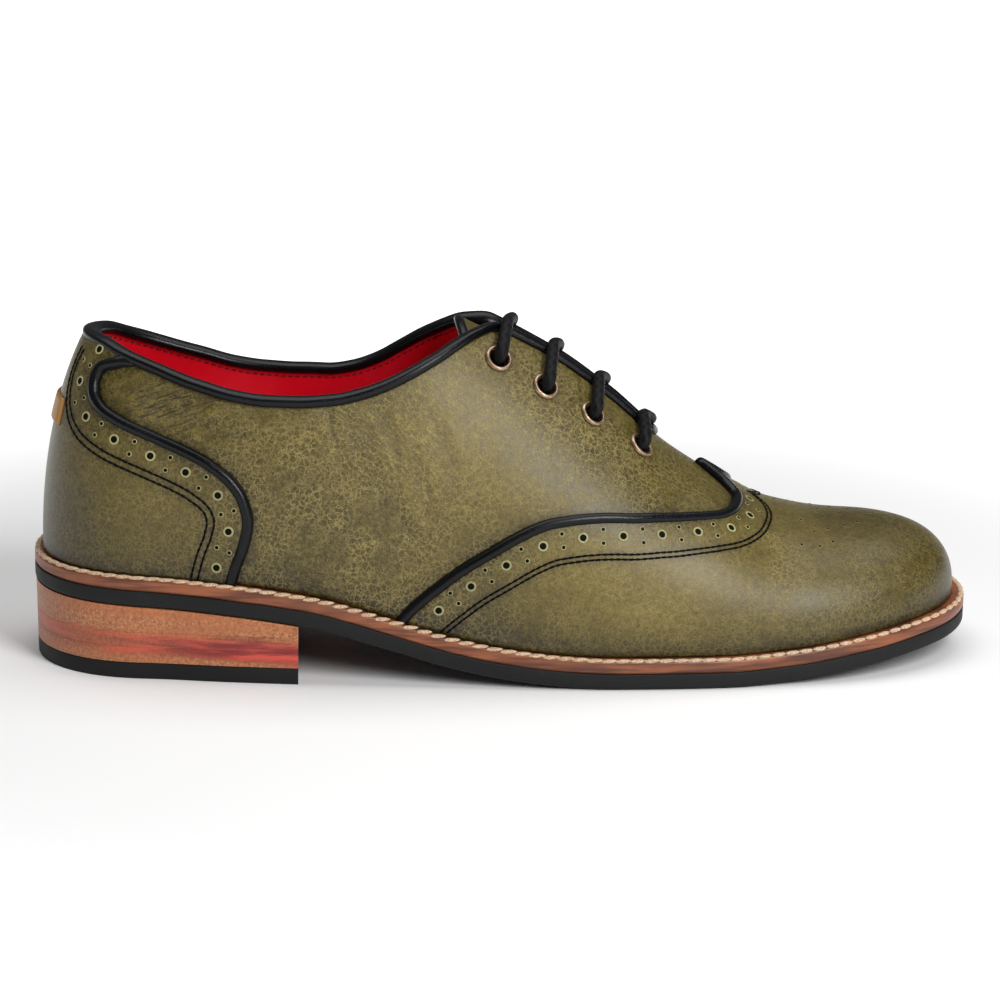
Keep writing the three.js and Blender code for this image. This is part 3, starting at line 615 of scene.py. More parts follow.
def named_tree(name, kind, inputs, outputs):
    """A tree that others use; a blank start value is left as Blender has it."""
    made = bpy.data.node_groups.new(name, kind + "NodeTree")
    for way, sockets in (("INPUT", inputs), ("OUTPUT", [(*each, None) for each in outputs])):
        for label, sort, value in sockets:
            socket = made.interface.new_socket(label, in_out=way, socket_type="NodeSocket" + sort)
            if value is not None:
                socket.default_value = value
    tree = Tree(made)
    return tree, tree.outputs("NodeGroupInput"), made.nodes.new("NodeGroupOutput").inputs


def srgb(red, green, blue):
    def linear(value):
        value /= 255
        return value / 12.92 if value <= 0.04045 else ((value + 0.055) / 1.055) ** 2.4

    return (linear(red), linear(green), linear(blue), 1.0)


def grain_group():
    """Pores and two nets of fine cracks: a height, crack lines, clouds and mottling."""
    inputs = [("Size", "Float", 900.0), ("Cracks", "Float", 0.0), ("Pores", "Float", 0.5)]
    outputs = [(label, "Float") for label in ("Height", "Lines", "Cloud", "Mottle")]
    tree, given, result = named_tree("leather_grain", "Shader", inputs, outputs)
    places = tree.places()
    warp = tree.noise(places, 760.0, 4.0, 0.65, 1)
    bent = tree.add("Mix", {"data_type": "VECTOR"}, 1, _0=0.0024, _4=places, _5=warp)

    def cells(size):
        return tree.add("TexVoronoi", {"feature": "DISTANCE_TO_EDGE"}, Vector=bent, Scale=size)

    where = tree.noise(places, 95.0, 4.0, 0.6)
    broken = tree.noise(places, 700.0, 2.0)
    wide = cells(given["Size"] * 0.52).band(0.0, 0.1, 1.0, 0.0) * where.band(0.33, 0.54)
    close = cells(given["Size"]).band(0.0, 0.13, 1.0, 0.0) * broken.band(0.4, 0.58)
    drawn = wide.maths("MAXIMUM", close * 0.55) * given["Cracks"]
    mottle = tree.noise(places, 2300.0, 3.0, 0.6) * 0.6 + tree.noise(places, 620.0, 3.0) * 0.4
    tree.feed(result["Height"], (mottle - 0.5) * given["Pores"] - drawn * 0.5)
    tree.feed(result["Lines"], drawn)
    tree.feed(result["Cloud"], tree.noise(places, 28.0, 5.0, 0.6))
    tree.feed(result["Mottle"], mottle)
    return tree.tree


def wear_group():
    """Light rubbing and dust specks: a mask that is patchy at two sizes."""
    inputs = [("Amount", "Float", 0.5), ("Size", "Float", 120.0)]
    tree, given, result = named_tree("rub_wear", "Shader", inputs, [("Mask", "Float")])
    places = tree.places()
    large = tree.noise(places, given["Size"], 6.0, 0.7).band(0.5, 0.75)
    small = tree.noise(places, 1800.0, 2.0).band(0.45, 0.7)
    tree.feed(result["Mask"], large * small * given["Amount"])
    return tree.tree


GRAIN, WEAR = grain_group(), wear_group()


class Look:
    """A material under way: its tree, and what feeds its shader."""

    def __init__(self, name, roughness=0.5, coat=0.0, coat_roughness=0.2, specular=0.5, **more):
        self.material = bpy.data.materials.new(name)
        self.material.use_nodes = True
        self.inputs = self.material.node_tree.nodes["Principled BSDF"].inputs
        self.tree = Tree(self.material.node_tree)
        values = {"Roughness": roughness, "Coat Weight": coat, "Coat Roughness": coat_roughness}
        values["Specular IOR Level"] = specular
        values.update({key.replace("_", " "): value for key, value in more.items()})
        for label, value in values.items():
            self.inputs[label].default_value = value

    def feed(self, **values):
        for key, value in values.items():
            self.tree.feed(self.inputs[key.replace("_", " ")], value)

    def bump(self, height, strength, distance=0.00012):
        values = {"Height": height, "Strength": strength, "Distance": distance}
        self.feed(Normal=self.tree.add("Bump", None, **values))
        return self.material


def streaks(tree, turn, stretch):
    """Fine lines that run one way over the side of the shoe."""
    turned = tree.add("Mapping", None, Vector=tree.places(), Rotation=(0.0, turn, 0.0))
    return tree.noise(tree.add("Mapping", None, Vector=turned, Scale=stretch), 1.0, 4.0, 0.6)


def upper_leather():
    """Olive calf, darker at the edges, with painted highlights and painted shade in its colour."""
    look = Look("olive_calf", 0.4, 0.12, 0.36, 0.45)
    tree = look.tree
    grain = tree.use(GRAIN, Size=1150.0, Cracks=tree.field("crackle"), Pores=0.9)
    wear = tree.use(WEAR, Amount=0.6, Size=90.0)["Mask"]
    patchy = (grain["Cloud"] - 0.5) * 0.5 + (grain["Mottle"] - 0.5) * 1.3
    shade = tree.field("tone").maths("ADD", patchy, clamp=True)
    ramp = tree.add("ValToRGB", None, _0=shade)
    stops = ramp.socket.node.color_ramp.elements
    stops[0].color, stops[1].color = srgb(30, 24, 4), srgb(138, 124, 74)
    for place, colour in ((0.25, (52, 43, 6)), (0.5, (79, 67, 17)), (0.75, (106, 92, 37))):
        stops.new(place).color = srgb(*colour)
    lined = tree.mix(grain["Lines"] * 0.85, ramp, srgb(162, 145, 84))
    # Fine wrinkles behind the counter and pebbled folds before the joint, with painted shade on
    # their dark lines.
    creased = streaks(tree, 0.35, (170, 170, 1300)).band(0.5, 0.6) * tree.field("wrinkle")
    folded = streaks(tree, -0.75, (420, 420, 1150)).band(0.36, 0.62) * tree.field("fold")
    # Painted shade: the wrinkle and fold lines are darkened in the colour.
    lined = tree.mix(creased * 0.9, lined, srgb(34, 27, 7))
    lined = tree.mix(folded * 0.42, lined, srgb(52, 42, 14))
    dust_and_painted_light = tree.mix(wear * 0.3, lined, srgb(152, 138, 92))
    look.feed(Base_Color=dust_and_painted_light, Roughness=shade.band(0.0, 1.0, 0.38, 0.46))
    return look.bump(grain["Height"] - (creased * 0.7 + folded * 0.6), 1.0, 0.00015)


def plain_leather(
    name, colour, worn, roughness, coat, size=900.0, strength=0.3, rubbed=0.6, specular=0.5
):
    look = Look(name, roughness, coat, 0.18, specular)
    tree = look.tree
    grain = tree.use(GRAIN, Size=size, Cracks=0.25, Pores=0.6)
    wear = tree.use(WEAR, Amount=rubbed, Size=140.0)["Mask"]
    cloud = grain["Cloud"]
    toned = tree.mix(cloud.band(0.35, 0.65, 0.0, 0.45), srgb(*colour), srgb(*worn))
    rough = cloud.band(0.3, 0.7, roughness - 0.06, roughness + 0.08)
    look.feed(Base_Color=tree.mix(wear, toned, srgb(*worn)), Roughness=rough)
    return look.bump(grain["Height"], strength)


def welt_leather():
    look = Look("welt_edge", 0.5, 0.15)
    tree = look.tree
    grain = tree.use(GRAIN, Size=700.0, Cracks=0.5, Pores=1.0)
    streak = tree.noise(tree.places((60, 60, 700)), 1.0, 5.0)
    toned = tree.mix(streak.band(0.35, 0.65), srgb(92, 44, 22), srgb(148, 82, 46))
    look.feed(Base_Color=tree.mix(grain["Cloud"].band(0.4, 0.7, 0.0, 0.5), toned, srgb(60, 36, 22)))
    return look.bump(grain["Height"] + streak, 0.3)


def stack_leather():
    """Edges of stacked leather: tan grain, a red streak along the middle, fine upright cracks."""
    look = Look("heel_stack", 0.45, 0.2, 0.3)
    tree = look.tree
    streak = tree.noise(tree.places((30, 30, 330)), 1.0, 7.0, 0.65)
    fine = tree.noise(tree.places(), 1300.0, 4.0, 0.7)
    upright = tree.noise(tree.places((1500, 1500, 130)), 1.0, 3.0)
    x = tree.add("SeparateXYZ", None, 0, _0=tree.places())
    z = tree.add("SeparateXYZ", None, 2, _0=tree.places())
    # The streak lies higher at the back and is deeper and redder towards the breast.
    wavy = z + x * 0.035 + (streak - 0.5) * 0.006
    middle = wavy.band(0.0018, 0.0048) * wavy.band(0.0082, 0.0112, 1.0, 0.0)
    red = middle.maths("MULTIPLY", x.band(-0.125, -0.08, 0.5, 1.0), clamp=True)
    base = tree.mix(fine.band(0.34, 0.66), srgb(138, 78, 42), srgb(196, 132, 84))
    clouded = tree.mix(streak.band(0.35, 0.65, 0.0, 0.7), base, srgb(170, 96, 54))
    reds = tree.mix(streak.band(0.4, 0.6), srgb(124, 30, 26), srgb(200, 72, 56))
    reddened = tree.mix(red, clouded, reds)
    look.feed(Base_Color=tree.mix(upright.band(0.58, 0.74, 0.0, 0.35), reddened, srgb(92, 46, 26)))
    return look.bump(fine + upright, 0.2)


def rubber():
    look = Look("sole_rubber", 0.62, specular=0.3)
    tree = look.tree
    grain = tree.use(GRAIN, Size=1400.0, Cracks=0.1, Pores=1.0)
    wear = tree.use(WEAR, Amount=0.8, Size=60.0)["Mask"]
    cloud = grain["Cloud"]
    toned = tree.mix(cloud.band(0.35, 0.7), srgb(13, 14, 14), srgb(22, 23, 23))
    look.feed(Base_Color=tree.mix(wear * 0.35, toned, srgb(60, 60, 58)))
    look.feed(Roughness=cloud.band(0.3, 0.7, 0.52, 0.7))
    return look.bump(grain["Height"], 0.2)


def copper():
    look = Look("antique_copper", 0.3, Metallic=1.0)
    tree = look.tree
    wear = tree.use(WEAR, Amount=1.0, Size=500.0)["Mask"]
    cloud = tree.noise(tree.places(), 600.0, 4.0)
    toned = tree.mix(cloud.band(0.35, 0.65), srgb(184, 160, 136), srgb(138, 114, 92))
    look.feed(Base_Color=tree.mix(wear, toned, srgb(196, 172, 150)))
    look.feed(Roughness=cloud.band(0.3, 0.7, 0.34, 0.5))
    return look.bump(cloud, 0.05)


def thread(name, dark, light, sheen=0.0):
    look = Look(name, 0.7, specular=0.08, Sheen_Weight=sheen)
    twist = look.tree.noise(look.tree.places(), 2200.0, 2.0)
    look.feed(Base_Color=look.tree.mix(twist.band(0.35, 0.65), srgb(*dark), srgb(*light)))
    return look.bump(twist, 0.4)


def lace_cloth():
    """Braid of a round waxed lace, read from its length and turn, with painted shade between its
    strands.
    """
    look = Look("lace_braid", 0.55, specular=0.12)
    tree = look.tree
    fibre = tree.noise(tree.places(), 3500.0, 2.0)
    # Painted shade: strands that lie low in the braid are darker.
    toned = tree.mix(tree.field("weave"), srgb(2, 2, 2), srgb(24, 24, 26))
    look.feed(Base_Color=tree.mix(fibre.band(0.45, 0.7, 0.0, 0.35), toned, srgb(26, 26, 28)))
    return look.bump(fibre, 0.35)


OLIVE = upper_leather()
BLACK = plain_leather(
    "black_piping", (6, 7, 9), (14, 16, 20), 0.26, 0.03, strength=1.0, rubbed=0.3, specular=0.22
)
LINING = plain_leather("red_lining", (214, 12, 34), (228, 36, 54), 0.36, 0.2, strength=0.4)
TAN = plain_leather("tan_tab", (150, 104, 46), (180, 132, 70), 0.5, 0.1)
WELT, STACK, RUBBER, COPPER = welt_leather(), stack_leather(), rubber(), copper()
BLACK_THREAD = thread("black_thread", (2, 2, 2), (11, 10, 8))
RED_THREAD = thread("red_thread", (92, 4, 14), (140, 14, 26), 0.2)
PALE_THREAD = thread("welt_thread", (166, 136, 106), (212, 186, 156), 0.1)
LACE_CLOTH = lace_cloth()
# Painted shadow for the sunk floor of each punched hole.
HOLE_SHADOW = thread("hole_shadow", (3, 3, 2), (14, 12, 6))
HOLE_RIM = plain_leather("punched_edge", (138, 134, 88), (176, 172, 126), 0.55, 0.0)


# Bottom.
def plate(stations, layers, margin=None):
    """Rings across the foot; each layer has a set-in from an outline and a height."""
    margin = MARGIN(stations) if margin is None else margin
    columns = []
    for side, order in ((-1, layers), (1, layers[::-1])):
        for inset, height in order:
            x, y = outset(round_of(side, stations), margin - inset)
            columns.append(np.stack([x, y, height(x)], -1))
    return tube(np.stack(columns, 1))


def rounded(low, high, radius, steps=4):
    """Layers of a plate edge with both corners rounded."""
    layers = []
    for edge, way in ((low, 1), (high, -1)):
        for i in range(steps + 1)[::way]:
            a = math.pi / 2 * i / steps
            rise = way * radius * (1 - math.cos(a))
            layers.append(
                (radius * (1 - math.sin(a)), lambda x, edge=edge, rise=rise: edge(x) + rise)
            )
    return layers


foot_stations = at_of(np.linspace(0, 1, 241))
outsole_layers = rounded(sole_under, lambda x: sole_under(x) + OUTSOLE_THICK - 0.1, 0.35)
bevel = [
    (
        OUTSOLE_BEVEL * (1 - math.sin(a)),
        lambda x, a=a: sole_under(x) + OUTSOLE_BEVEL * (1 - math.cos(a)),
    )
    for a in np.linspace(0, math.pi / 2, 7)
]
outsole = make("outsole_rubber", plate(foot_stations, bevel + outsole_layers[5:]), RUBBER)
dress(sharpen(outsole), "sole_rubber", "outsole")

insole_layers = rounded(
    lambda x: sole_under(x) + OUTSOLE_THICK, lambda x: welt_top(x) + INSOLE_PROUD, 0.5
)
insole = plate(foot_stations, insole_layers, -(WELT_BITE + INSOLE_CLEAR))
dress(sharpen(make("insole_and_sock", insole, LINING)), "insole_leather", "insole")

heel_end = (HEEL_LENGTH * LENGTH - LAST_START) / LAST_LENGTH
heel_stations = heel_end * (1 - np.cos(np.linspace(0, math.pi / 2, 81)))


def set_in(height):
    return HEEL_SET_IN + HEEL_TAPER * (1 - height / HEEL)


low = 0.0
for name, cad_node, look, thick, gap, radius in (
    ("top_piece_rubber", "top_piece", RUBBER, TOP_PIECE_THICK, 0.08, 0.3),
    ("lift_bottom_leather", "heel_lift_bottom", STACK, LIFT_THICK, 0.02, 0.05),
    ("lift_middle_leather", "heel_lift_middle", STACK, MIDDLE_LIFT_THICK, 0.02, 0.05),
    ("lift_top_leather", "heel_lift_top", STACK, None, 0.0, 0.05),
):
    high = HEEL if thick is None else low + thick - gap
    top = (lambda x: sole_under(x) - 0.1) if thick is None else (lambda x, high=high: x * 0 + high)
    layers = rounded(lambda x, low=low: x * 0 + low, top, radius, 3)
    half = len(layers) // 2
    layers = [
        (inset + set_in(low if i < half else high), height)
        for i, (inset, height) in enumerate(layers)
    ]
    slot = "sole_rubber" if look is RUBBER else "stack_leather"
    dress(sharpen(make(name, plate(heel_stations, layers), look)), slot, cad_node)
    low += thick or 0.0


def welt():
    """The welt strip with a rounded outer edge."""
    rounds = np.linspace(-1, 1, 481)[:-1]
    margin = MARGIN(at_of(rounds))
    section = [(margin, 0.15, 0)]
    for a in np.linspace(0, math.pi / 2, 6):
        section.append((margin + WELT_ROUND * (math.cos(a) - 1), 1, WELT_ROUND * (math.sin(a) - 1)))
    section += [(-WELT_BITE, 1, 0), (-WELT_BITE, 0, 0), (margin - 0.4, 0, 0)]
    columns = []
    for reach, level, drop in section:
        x, y = outset(rounds, reach)
        z = sole_under(x) + OUTSOLE_THICK + WELT_THICK * level + drop
        columns.append(np.stack([x, y, z], -1))
    return tube(np.stack(columns, 1), closed=True)


dress(sharpen(make("welt_strip", welt(), WELT)), "welt_leather", "welt")


# How pale or dark the leather is, with painted highlights and shade, and where it is cracked.
def smoothstep(value, low, high):
    t = np.clip((value - low) / (high - low), 0, 1)
    return t * t * (3 - 2 * t)


def spot(at, share, at_middle, share_middle, at_reach, share_reach):
    return np.exp(
        -(((at - at_middle) / at_reach) ** 2 + ((share - share_middle) / share_reach) ** 2)
    )


def tones(points, round_, up):
    """Read from the photo: painted highlights on the vamp and cap, painted shade in the creases,
    darker edges and seams.
    """
    at = at_of(round_)
    share = up / topline(round_)

    def line(distance, wide):
        return np.exp(-((distance / wide) ** 2))

    # Painted shade in the crease troughs and a little painted light on the ridges beside them.
    tone = 0.5 + 0.7 * np.minimum(relief(bare(round_, up)), 0.1)
    # Painted highlights and painted shade from the spots above.
    for weight, height, place in PAINTED_LIGHT_SPOTS:
        tone += weight * spot(at, share if height == "share" else up, *place)
    tone -= 0.26 * line(share, 0.05) + 0.12 * line(share, 0.2)
    tone -= 0.14 * smoothstep(at, 0.84, 1.0) + 0.1 * smoothstep(at, 0.12, 0.0)
    tone -= 0.16 * line(1 - share, 0.07) * (at < THROAT_END)
    tone -= 0.34 * line(seam_distance(points, SEAM_POINTS), 3.4)
    # Painted shade of a shallow groove along the stitch rows.
    tone -= 0.22 * line(seam_distance(points, SEWN_POINTS), 1.3)
    crackle = 0.95 * spot(at, share, 0.33, 0.5, 0.12, 0.6)
    crackle += 0.5 * spot(at, share, 0.55, 0.7, 0.1, 0.35)
    crackle += 0.4 * spot(at, up, 0.79, 0.45, 0.02, 0.25) + 0.3
    wrinkle = spot(at, up, 0.13, 0.395, 0.07, 0.085)
    fold = spot(at, up, 0.36, 0.3, 0.075, 0.16) + 0.5 * spot(at, up, 0.42, 0.5, 0.05, 0.2)
    return tone, np.clip(crackle, 0, 1), wrinkle, np.clip(fold, 0, 1)


def surface_fields(places, patches):
    """The fields of the leather's outer faces, which come first; plain values for the rest."""
    total = sum(len(p) for p, _ in patches)
    made = {}
    for name, values in zip(FIELDS, zip(*[tones(*place) for place in places])):
        rest = np.full(total, 0.4 if name == "tone" else 0.0)
        made[name] = np.concatenate([value.ravel() for value in values] + [rest])[:total]
    return made


def seam_distance(points, line):
    """Distance of each point to the nearest point of a seam."""
    flat = points.reshape(-1, 3)
    best = np.full(len(flat), 1e9)
    for chunk in np.array_split(line, max(1, len(line) // 16)):
        best = np.minimum(best, np.linalg.norm(flat[:, None] - chunk[None], axis=2).min(1))
    return best.reshape(points.shape[:-1])


# Seam lines.
def run_along(points):
    """Length along a line up to each of its points."""
    return np.concatenate([[0], np.cumsum(np.linalg.norm(np.diff(points, axis=0), axis=1))])


def seam(round_, up):
    points = bare(round_, up)
    along = unit(np.gradient(points, axis=0))
    across = unit(np.cross(along, normals(round_, up)))
    return (round_, up), across, points


def even_places(round_, up, spacing=0.8):
    run = run_along(bare(round_, up))
    marks = np.linspace(0, run[-1], max(int(run[-1] / spacing), 2))
    return np.interp(marks, run, round_), np.interp(marks, run, up)


wing_up = np.linspace(0, 1, 400)
wing_half = {side: (round_of(side, WING_LINE(wing_up)), wing_up) for side in SIDES}
counter_share = np.linspace(0, COUNTER_TOP, 300)
counter_half = {}
for side in SIDES:
    r = round_of(side, COUNTER_LINE(counter_share))
    counter_half[side] = (r, counter_share * topline(r))


def wing_seam():
    """Signed places over the crest: the inner side is written as the far side of an outer rib."""
    outer, inner = even_places(*wing_half[-1]), even_places(*wing_half[1])
    return seam(*[np.concatenate([o, i[::-1][1:]]) for o, i in zip(outer, inner)])


WING = wing_seam()
WING_HALVES = {side: seam(*even_places(*wing_half[side])) for side in SIDES}
COUNTERS = {side: seam(*even_places(*counter_half[side])) for side in SIDES}


def piping(name, line, cad_node, dive=0):
    """A bead along a seam; its last points can dive under the binding."""
    places, across, _ = line
    level = np.ones(len(places[0]))
    if dive:
        level[-dive:] = np.linspace(1.0, 0.3, dive)
    rings = []
    for a in np.linspace(0, math.pi, 13):
        here = moved(places, across, -math.cos(a) * PIPING_HALF, 2)
        rings.append(skin(*here, 0.1 + (PIPING_TOP - 0.1) * level * math.sin(a) ** 0.8, True))
    rings.append(skin(*places, 0.1, True))
    dress(make(name, tube(np.stack(rings, 1)), BLACK), "piping_leather", cad_node)


piping("wing_piping_bead", WING, "wing_piping")
piping("counter_piping_bead_outer", COUNTERS[-1], "counter_piping_outer", 8)
piping("counter_piping_bead_inner", COUNTERS[1], "counter_piping_inner", 8)

SEAM_POINTS = np.concatenate([line[2][::3] for line in (WING, COUNTERS[-1], COUNTERS[1])])


def stays_on(r, u, side):
    """Where places lie on their own side, under the binding and above the welt."""
    below = (u < SEWN_BELOW * topline(r)) | (at_of(r) > THROAT_END) & (u < 0.999)
    return below & (u > 0.004) & (side * r > 0.012)


def runs_beside(line, distance, way, side):
    """The run of a seam moved across the leather, kept where it stays on its own side."""
    places, across, _ = line
    r, u = moved(places, across, distance * way, 8)
    runs, start = [], None
    for i, flag in enumerate([*stays_on(r, u, side), False]):
        if flag and start is None:
            start = i
        if not flag and start is not None:
            if i - start > 6:
                rr, uu = r[start:i], u[start:i]
                runs.append((skin(rr, uu, OVERLAY_TOP, True), normals(rr, uu)))
            start = None
    return runs


sewn_runs = []
for side in SIDES:
    for distance in WING_SEWING_IN:
        sewn_runs += runs_beside(WING_HALVES[side], distance, -side, side)
    for distance in COUNTER_SEWING_IN:
        sewn_runs += runs_beside(COUNTERS[side], distance, side, side)
SEWN_POINTS = np.concatenate([points[::3] for points, _ in sewn_runs])

# Upper: leather and lining.
EYELETS = []
for side in SIDES:
    row = []
    for at, distance in EYELET_ROWS:
        r = float(round_of(side, at + (LACE_LEAN if side > 0 else 0)))
        edge_up = float(topline(r))
        edge = bare(r, edge_up)
        row.append(
            (r, solve(lambda u: u < edge_up and np.linalg.norm(bare(r, u) - edge) > distance))
        )
    EYELETS.append(row)

throat_round = float(round_of(1, THROAT_END))


def wall_rounds(coarse):
    near = float(round_of(1, 0.63))
    spans = [
        np.linspace(0, near, coarse, endpoint=False),
        np.linspace(near, throat_round, coarse // 5, endpoint=False),
        throat_round + (1 - throat_round) * np.linspace(0, 1, coarse // 2),
    ]
    return np.concatenate(spans)


def wall_places(rounds, levels):
    """The collar part runs round the back; the toe part runs over the crest."""
    shares = np.linspace(0, 1, levels)
    back = rounds[rounds <= throat_round + 1e-9]
    r, s = np.meshgrid(np.concatenate([-back[::-1], back[1:]]), shares, indexing="ij")
    front = rounds[rounds >= throat_round - 1e-9]
    over = np.concatenate([shares, 2 - shares[::-1][1:]])
    rf, uf = np.meshgrid(-front, over, indexing="ij")
    return (r, s * topline(r)), (np.where(uf > 1, -rf, rf), np.where(uf > 1, 2 - uf, uf))


def wall(name, outer_off, inner_off, coarse, levels, leather):
    rounds = wall_rounds(coarse)
    creased = leather is OLIVE
    outside = [(skin(*p, outer_off, creased), *p) for p in wall_places(rounds, levels)]
    inside = [skin(*p, inner_off) for p in wall_places(rounds, 18)]
    patches = [patch(points) for points, _, _ in outside] + [patch(points) for points in inside]
    for (outer, _, _), inner in zip(outside, inside):
        patches += [patch(np.stack([outer[:, k], inner[:, k]])) for k in (0, -1)]
    return make(name, patches, leather, surface_fields(outside, patches) if creased else None)


def cut_eyelet_holes(piece):
    """Cuts the eyelet holes with plain cylinders."""
    cutter_mesh = bpy.data.meshes.new("eyelet_cutter")
    cutter = bmesh.new()
    size = {"radius1": EYELET_HOLE * MM, "radius2": EYELET_HOLE * MM, "depth": 9 * MM}
    for r, u in EYELETS[0] + EYELETS[1]:
        spin = Vector(normals(r, u)).to_track_quat("Z", "X").to_matrix().to_4x4()
        spin.translation = Vector((bare(r, u) - ORIGIN) * MM)
        bmesh.ops.create_cone(cutter, cap_ends=True, segments=32, matrix=spin, **size)
    cutter.to_mesh(cutter_mesh)
    cutter.free()
    tool = add_object("eyelet_cutter", cutter_mesh)
    modifier = piece.modifiers.new("eyelet_holes", "BOOLEAN")
    modifier.object, modifier.operation, modifier.solver = tool, "DIFFERENCE", "EXACT"
    modifier.use_hole_tolerant = True
    bake(piece)
    bpy.data.objects.remove(tool)
    return piece


upper_leather_wall = wall("upper_leather_wall", 0.0, -LEATHER, 250, 90, OLIVE)
dress(cut_eyelet_holes(upper_leather_wall), "upper_leather", "upper")
lining_wall = wall("lining_wall", -LEATHER - 0.02, -WALL, 120, 26, LINING)
dress(cut_eyelet_holes(lining_wall), "insole_leather")


# Wing cap and counter.
def overlay(name, grids, rims):
    """Leather laid over the upper, from one grid of places a side, closed at its free rims."""
    tops = [(skin(*grid, OVERLAY_TOP, True), *grid) for grid in grids]
    patches = [patch(top) for top, _, _ in tops]
    for (top, *_), grid in zip(tops, grids):
        under = skin(*grid, 0.03)
        patches += [patch(under), *[patch(np.stack([top[e], under[e]])) for e in rims]]
    return make(name, patches, OLIVE, surface_fields(tops, patches))


def wing_grids():
    (round_, up), across, _ = seam(*even_places(*wing_half[-1], 1.9))
    r, u = moved((round_, up), across, PIPING_HALF * 0.5, 2)
    keep = u > 1e-6
    first = int(np.argmax(keep))
    r, u = r[keep], u[keep]
    if first:
        slope = (r[1] - r[0]) / (u[1] - u[0])
        r, u = np.concatenate([[r[0] - slope * u[0]], r]), np.concatenate([[0.0], u])
    u[-1] = 1.0
    share = np.linspace(0, 1, 130)
    rr = -(np.abs(r)[:, None] + (1 - np.abs(r)[:, None]) * share)
    uu = np.repeat(u[:, None], len(share), 1)
    return [(rr, uu), (-rr, uu)]


def counter_grid(side):
    columns, shares = np.linspace(0, 1, 70), np.linspace(0, COUNTER_TOP, 110)
    r = round_of(side, COUNTER_LINE(shares))
    places, across, _ = seam(r, shares * topline(r))
    r, u = moved(places, across, PIPING_HALF * 0.5 * side, 2)
    u[0] = 0.0
    share = np.minimum(u / topline(r), COUNTER_TOP)
    rr = r[:, None] * columns
    back = shares * (0.98 / COUNTER_TOP)
    return rr, (back[:, None] + (share - back)[:, None] * columns) * topline(rr)


wing_cap = overlay("wing_cap_leather", wing_grids(), (0, FIRST_COLUMN))
dress(wing_cap, "upper_leather", "wing_cap")
counter_grids = [counter_grid(side) for side in SIDES]
heel_counter = overlay("heel_counter_leather", counter_grids, (0, -1, LAST_COLUMN))
dress(heel_counter, "upper_leather", "heel_counter")

# Binding folded over the topline, as one closed loop of places.
back = wall_rounds(200)
back = back[back < throat_round - 1e-9]
loop_round = np.concatenate([-back, [-throat_round], back[::-1][:-1]])
LOOP = loop_round, topline(loop_round)
loop_points = bare(*LOOP)
loop_along = unit(np.roll(loop_points, -1, 0) - np.roll(loop_points, 1, 0))
LOOP_DOWN = unit(np.cross(loop_along, normals(*LOOP)))


def binding():
    section = []

    def lay(distance, off):
        section.append(skin(*moved(LOOP, LOOP_DOWN, distance, 2), off))

    inner, swells = -WALL - BINDING_THICK, (0.3, 0.85, 1.15, 1.3, 1.3, 1.1)
    for distance, swell in zip(np.linspace(BINDING_OUTSIDE, 0.3, 6), swells):
        lay(distance, OVERLAY_TOP * 0.35 + BINDING_THICK * swell)
    half = WALL / 2 + BINDING_THICK
    for a in np.linspace(0, math.pi, 9)[1:-1]:
        over = skin(*LOOP, half * math.cos(a) - WALL / 2)
        section.append(over - LOOP_DOWN * 1.15 * math.sin(a))
    for distance, rise in zip(np.linspace(0.3, BINDING_INSIDE, 4), (0, 0, 0.05, 0.35)):
        lay(distance, inner + rise)
    lay(BINDING_INSIDE, -WALL - 0.03)
    lay(0, -WALL - 0.03)
    for share in (0, 0.5, 1):
        lay(BINDING_OUTSIDE * share, 0.04)
    return make("topline_binding_leather", tube(np.stack(section, 1), closed=True), BLACK)


dress(binding(), "piping_leather", "topline_binding")

# Tongue with its bound end, sunk along the middle.
tongue_dip = curve_through([(TONGUE_FROM, 1), (0.5, 0.5), (0.57, 0)])


def tongue():
    stations = np.linspace(round_of(1, TONGUE_FROM), round_of(1, TONGUE_TO), 90)
    r, a = np.meshgrid(stations, np.linspace(-1, 1, 81), indexing="ij")
    up = 1 - np.abs(a) * (1 - TONGUE_SIDE)
    r = np.where(a < 0, -r, r)
    dip = TONGUE_DIP * tongue_dip(at_of(np.abs(r))) * (1 - a**2)
    top = skin(r, up, TONGUE_TOP - dip)
    patches = shell(top, skin(r, up, TONGUE_TOP - TONGUE_THICK - dip))
    count = sum(len(p) for p, _ in patches)
    tone = np.full(count, 0.5)
    tone[: r.size] -= 0.15 * np.abs(a).ravel()
    return make("tongue_leather", patches, OLIVE, {"tone": tone, "crackle": np.full(count, 0.1)})


dress(tongue(), "upper_leather", "tongue")


def tongue_edge():
    across = np.linspace(-1, 1, 81)
    r = float(round_of(1, TONGUE_FROM + 0.001)) * np.where(across < 0, -1, 1)
    up = 1 - np.abs(across) * (1 - TONGUE_SIDE - 0.002)
    centre = skin(r, up, TONGUE_TOP - TONGUE_THICK / 2 - TONGUE_DIP * (1 - across**2))
    out = normals(r, up) * TONGUE_BEAD
    forward = unit(np.cross(unit(np.gradient(centre, axis=0)), out)) * TONGUE_BEAD
    turns = np.linspace(0, 2 * math.pi, 15)[:-1]
    rings = [centre + out * math.cos(t) + forward * math.sin(t) for t in turns]
    return make("tongue_binding", tube(np.stack(rings, 1)), BLACK)


dress(tongue_edge(), "piping_leather")


# Tab on the back seam.
def tab():
    half = (TAB_WIDE / 2) / (math.pi * 0.31 * BALL)
    spans = np.linspace(-half, half, 31), np.linspace(TAB_LOW, TAB_HIGH, 25)
    r, s = np.meshgrid(*spans, indexing="ij")
    up = s * topline(r)
    from_ends = np.minimum(s - TAB_LOW, TAB_HIGH - s) / (TAB_HIGH - TAB_LOW) * 2
    edge = np.minimum(1 - np.abs(r / half), from_ends)
    soft = OVERLAY_TOP + 0.2 + TAB_THICK * np.sqrt(np.clip(edge / 0.12, 0, 1))
    return make("heel_tab_leather", shell(skin(r, up, soft), skin(r, up, OVERLAY_TOP + 0.02)), TAN)


dress(tab(), "tab_leather", "heel_tab")


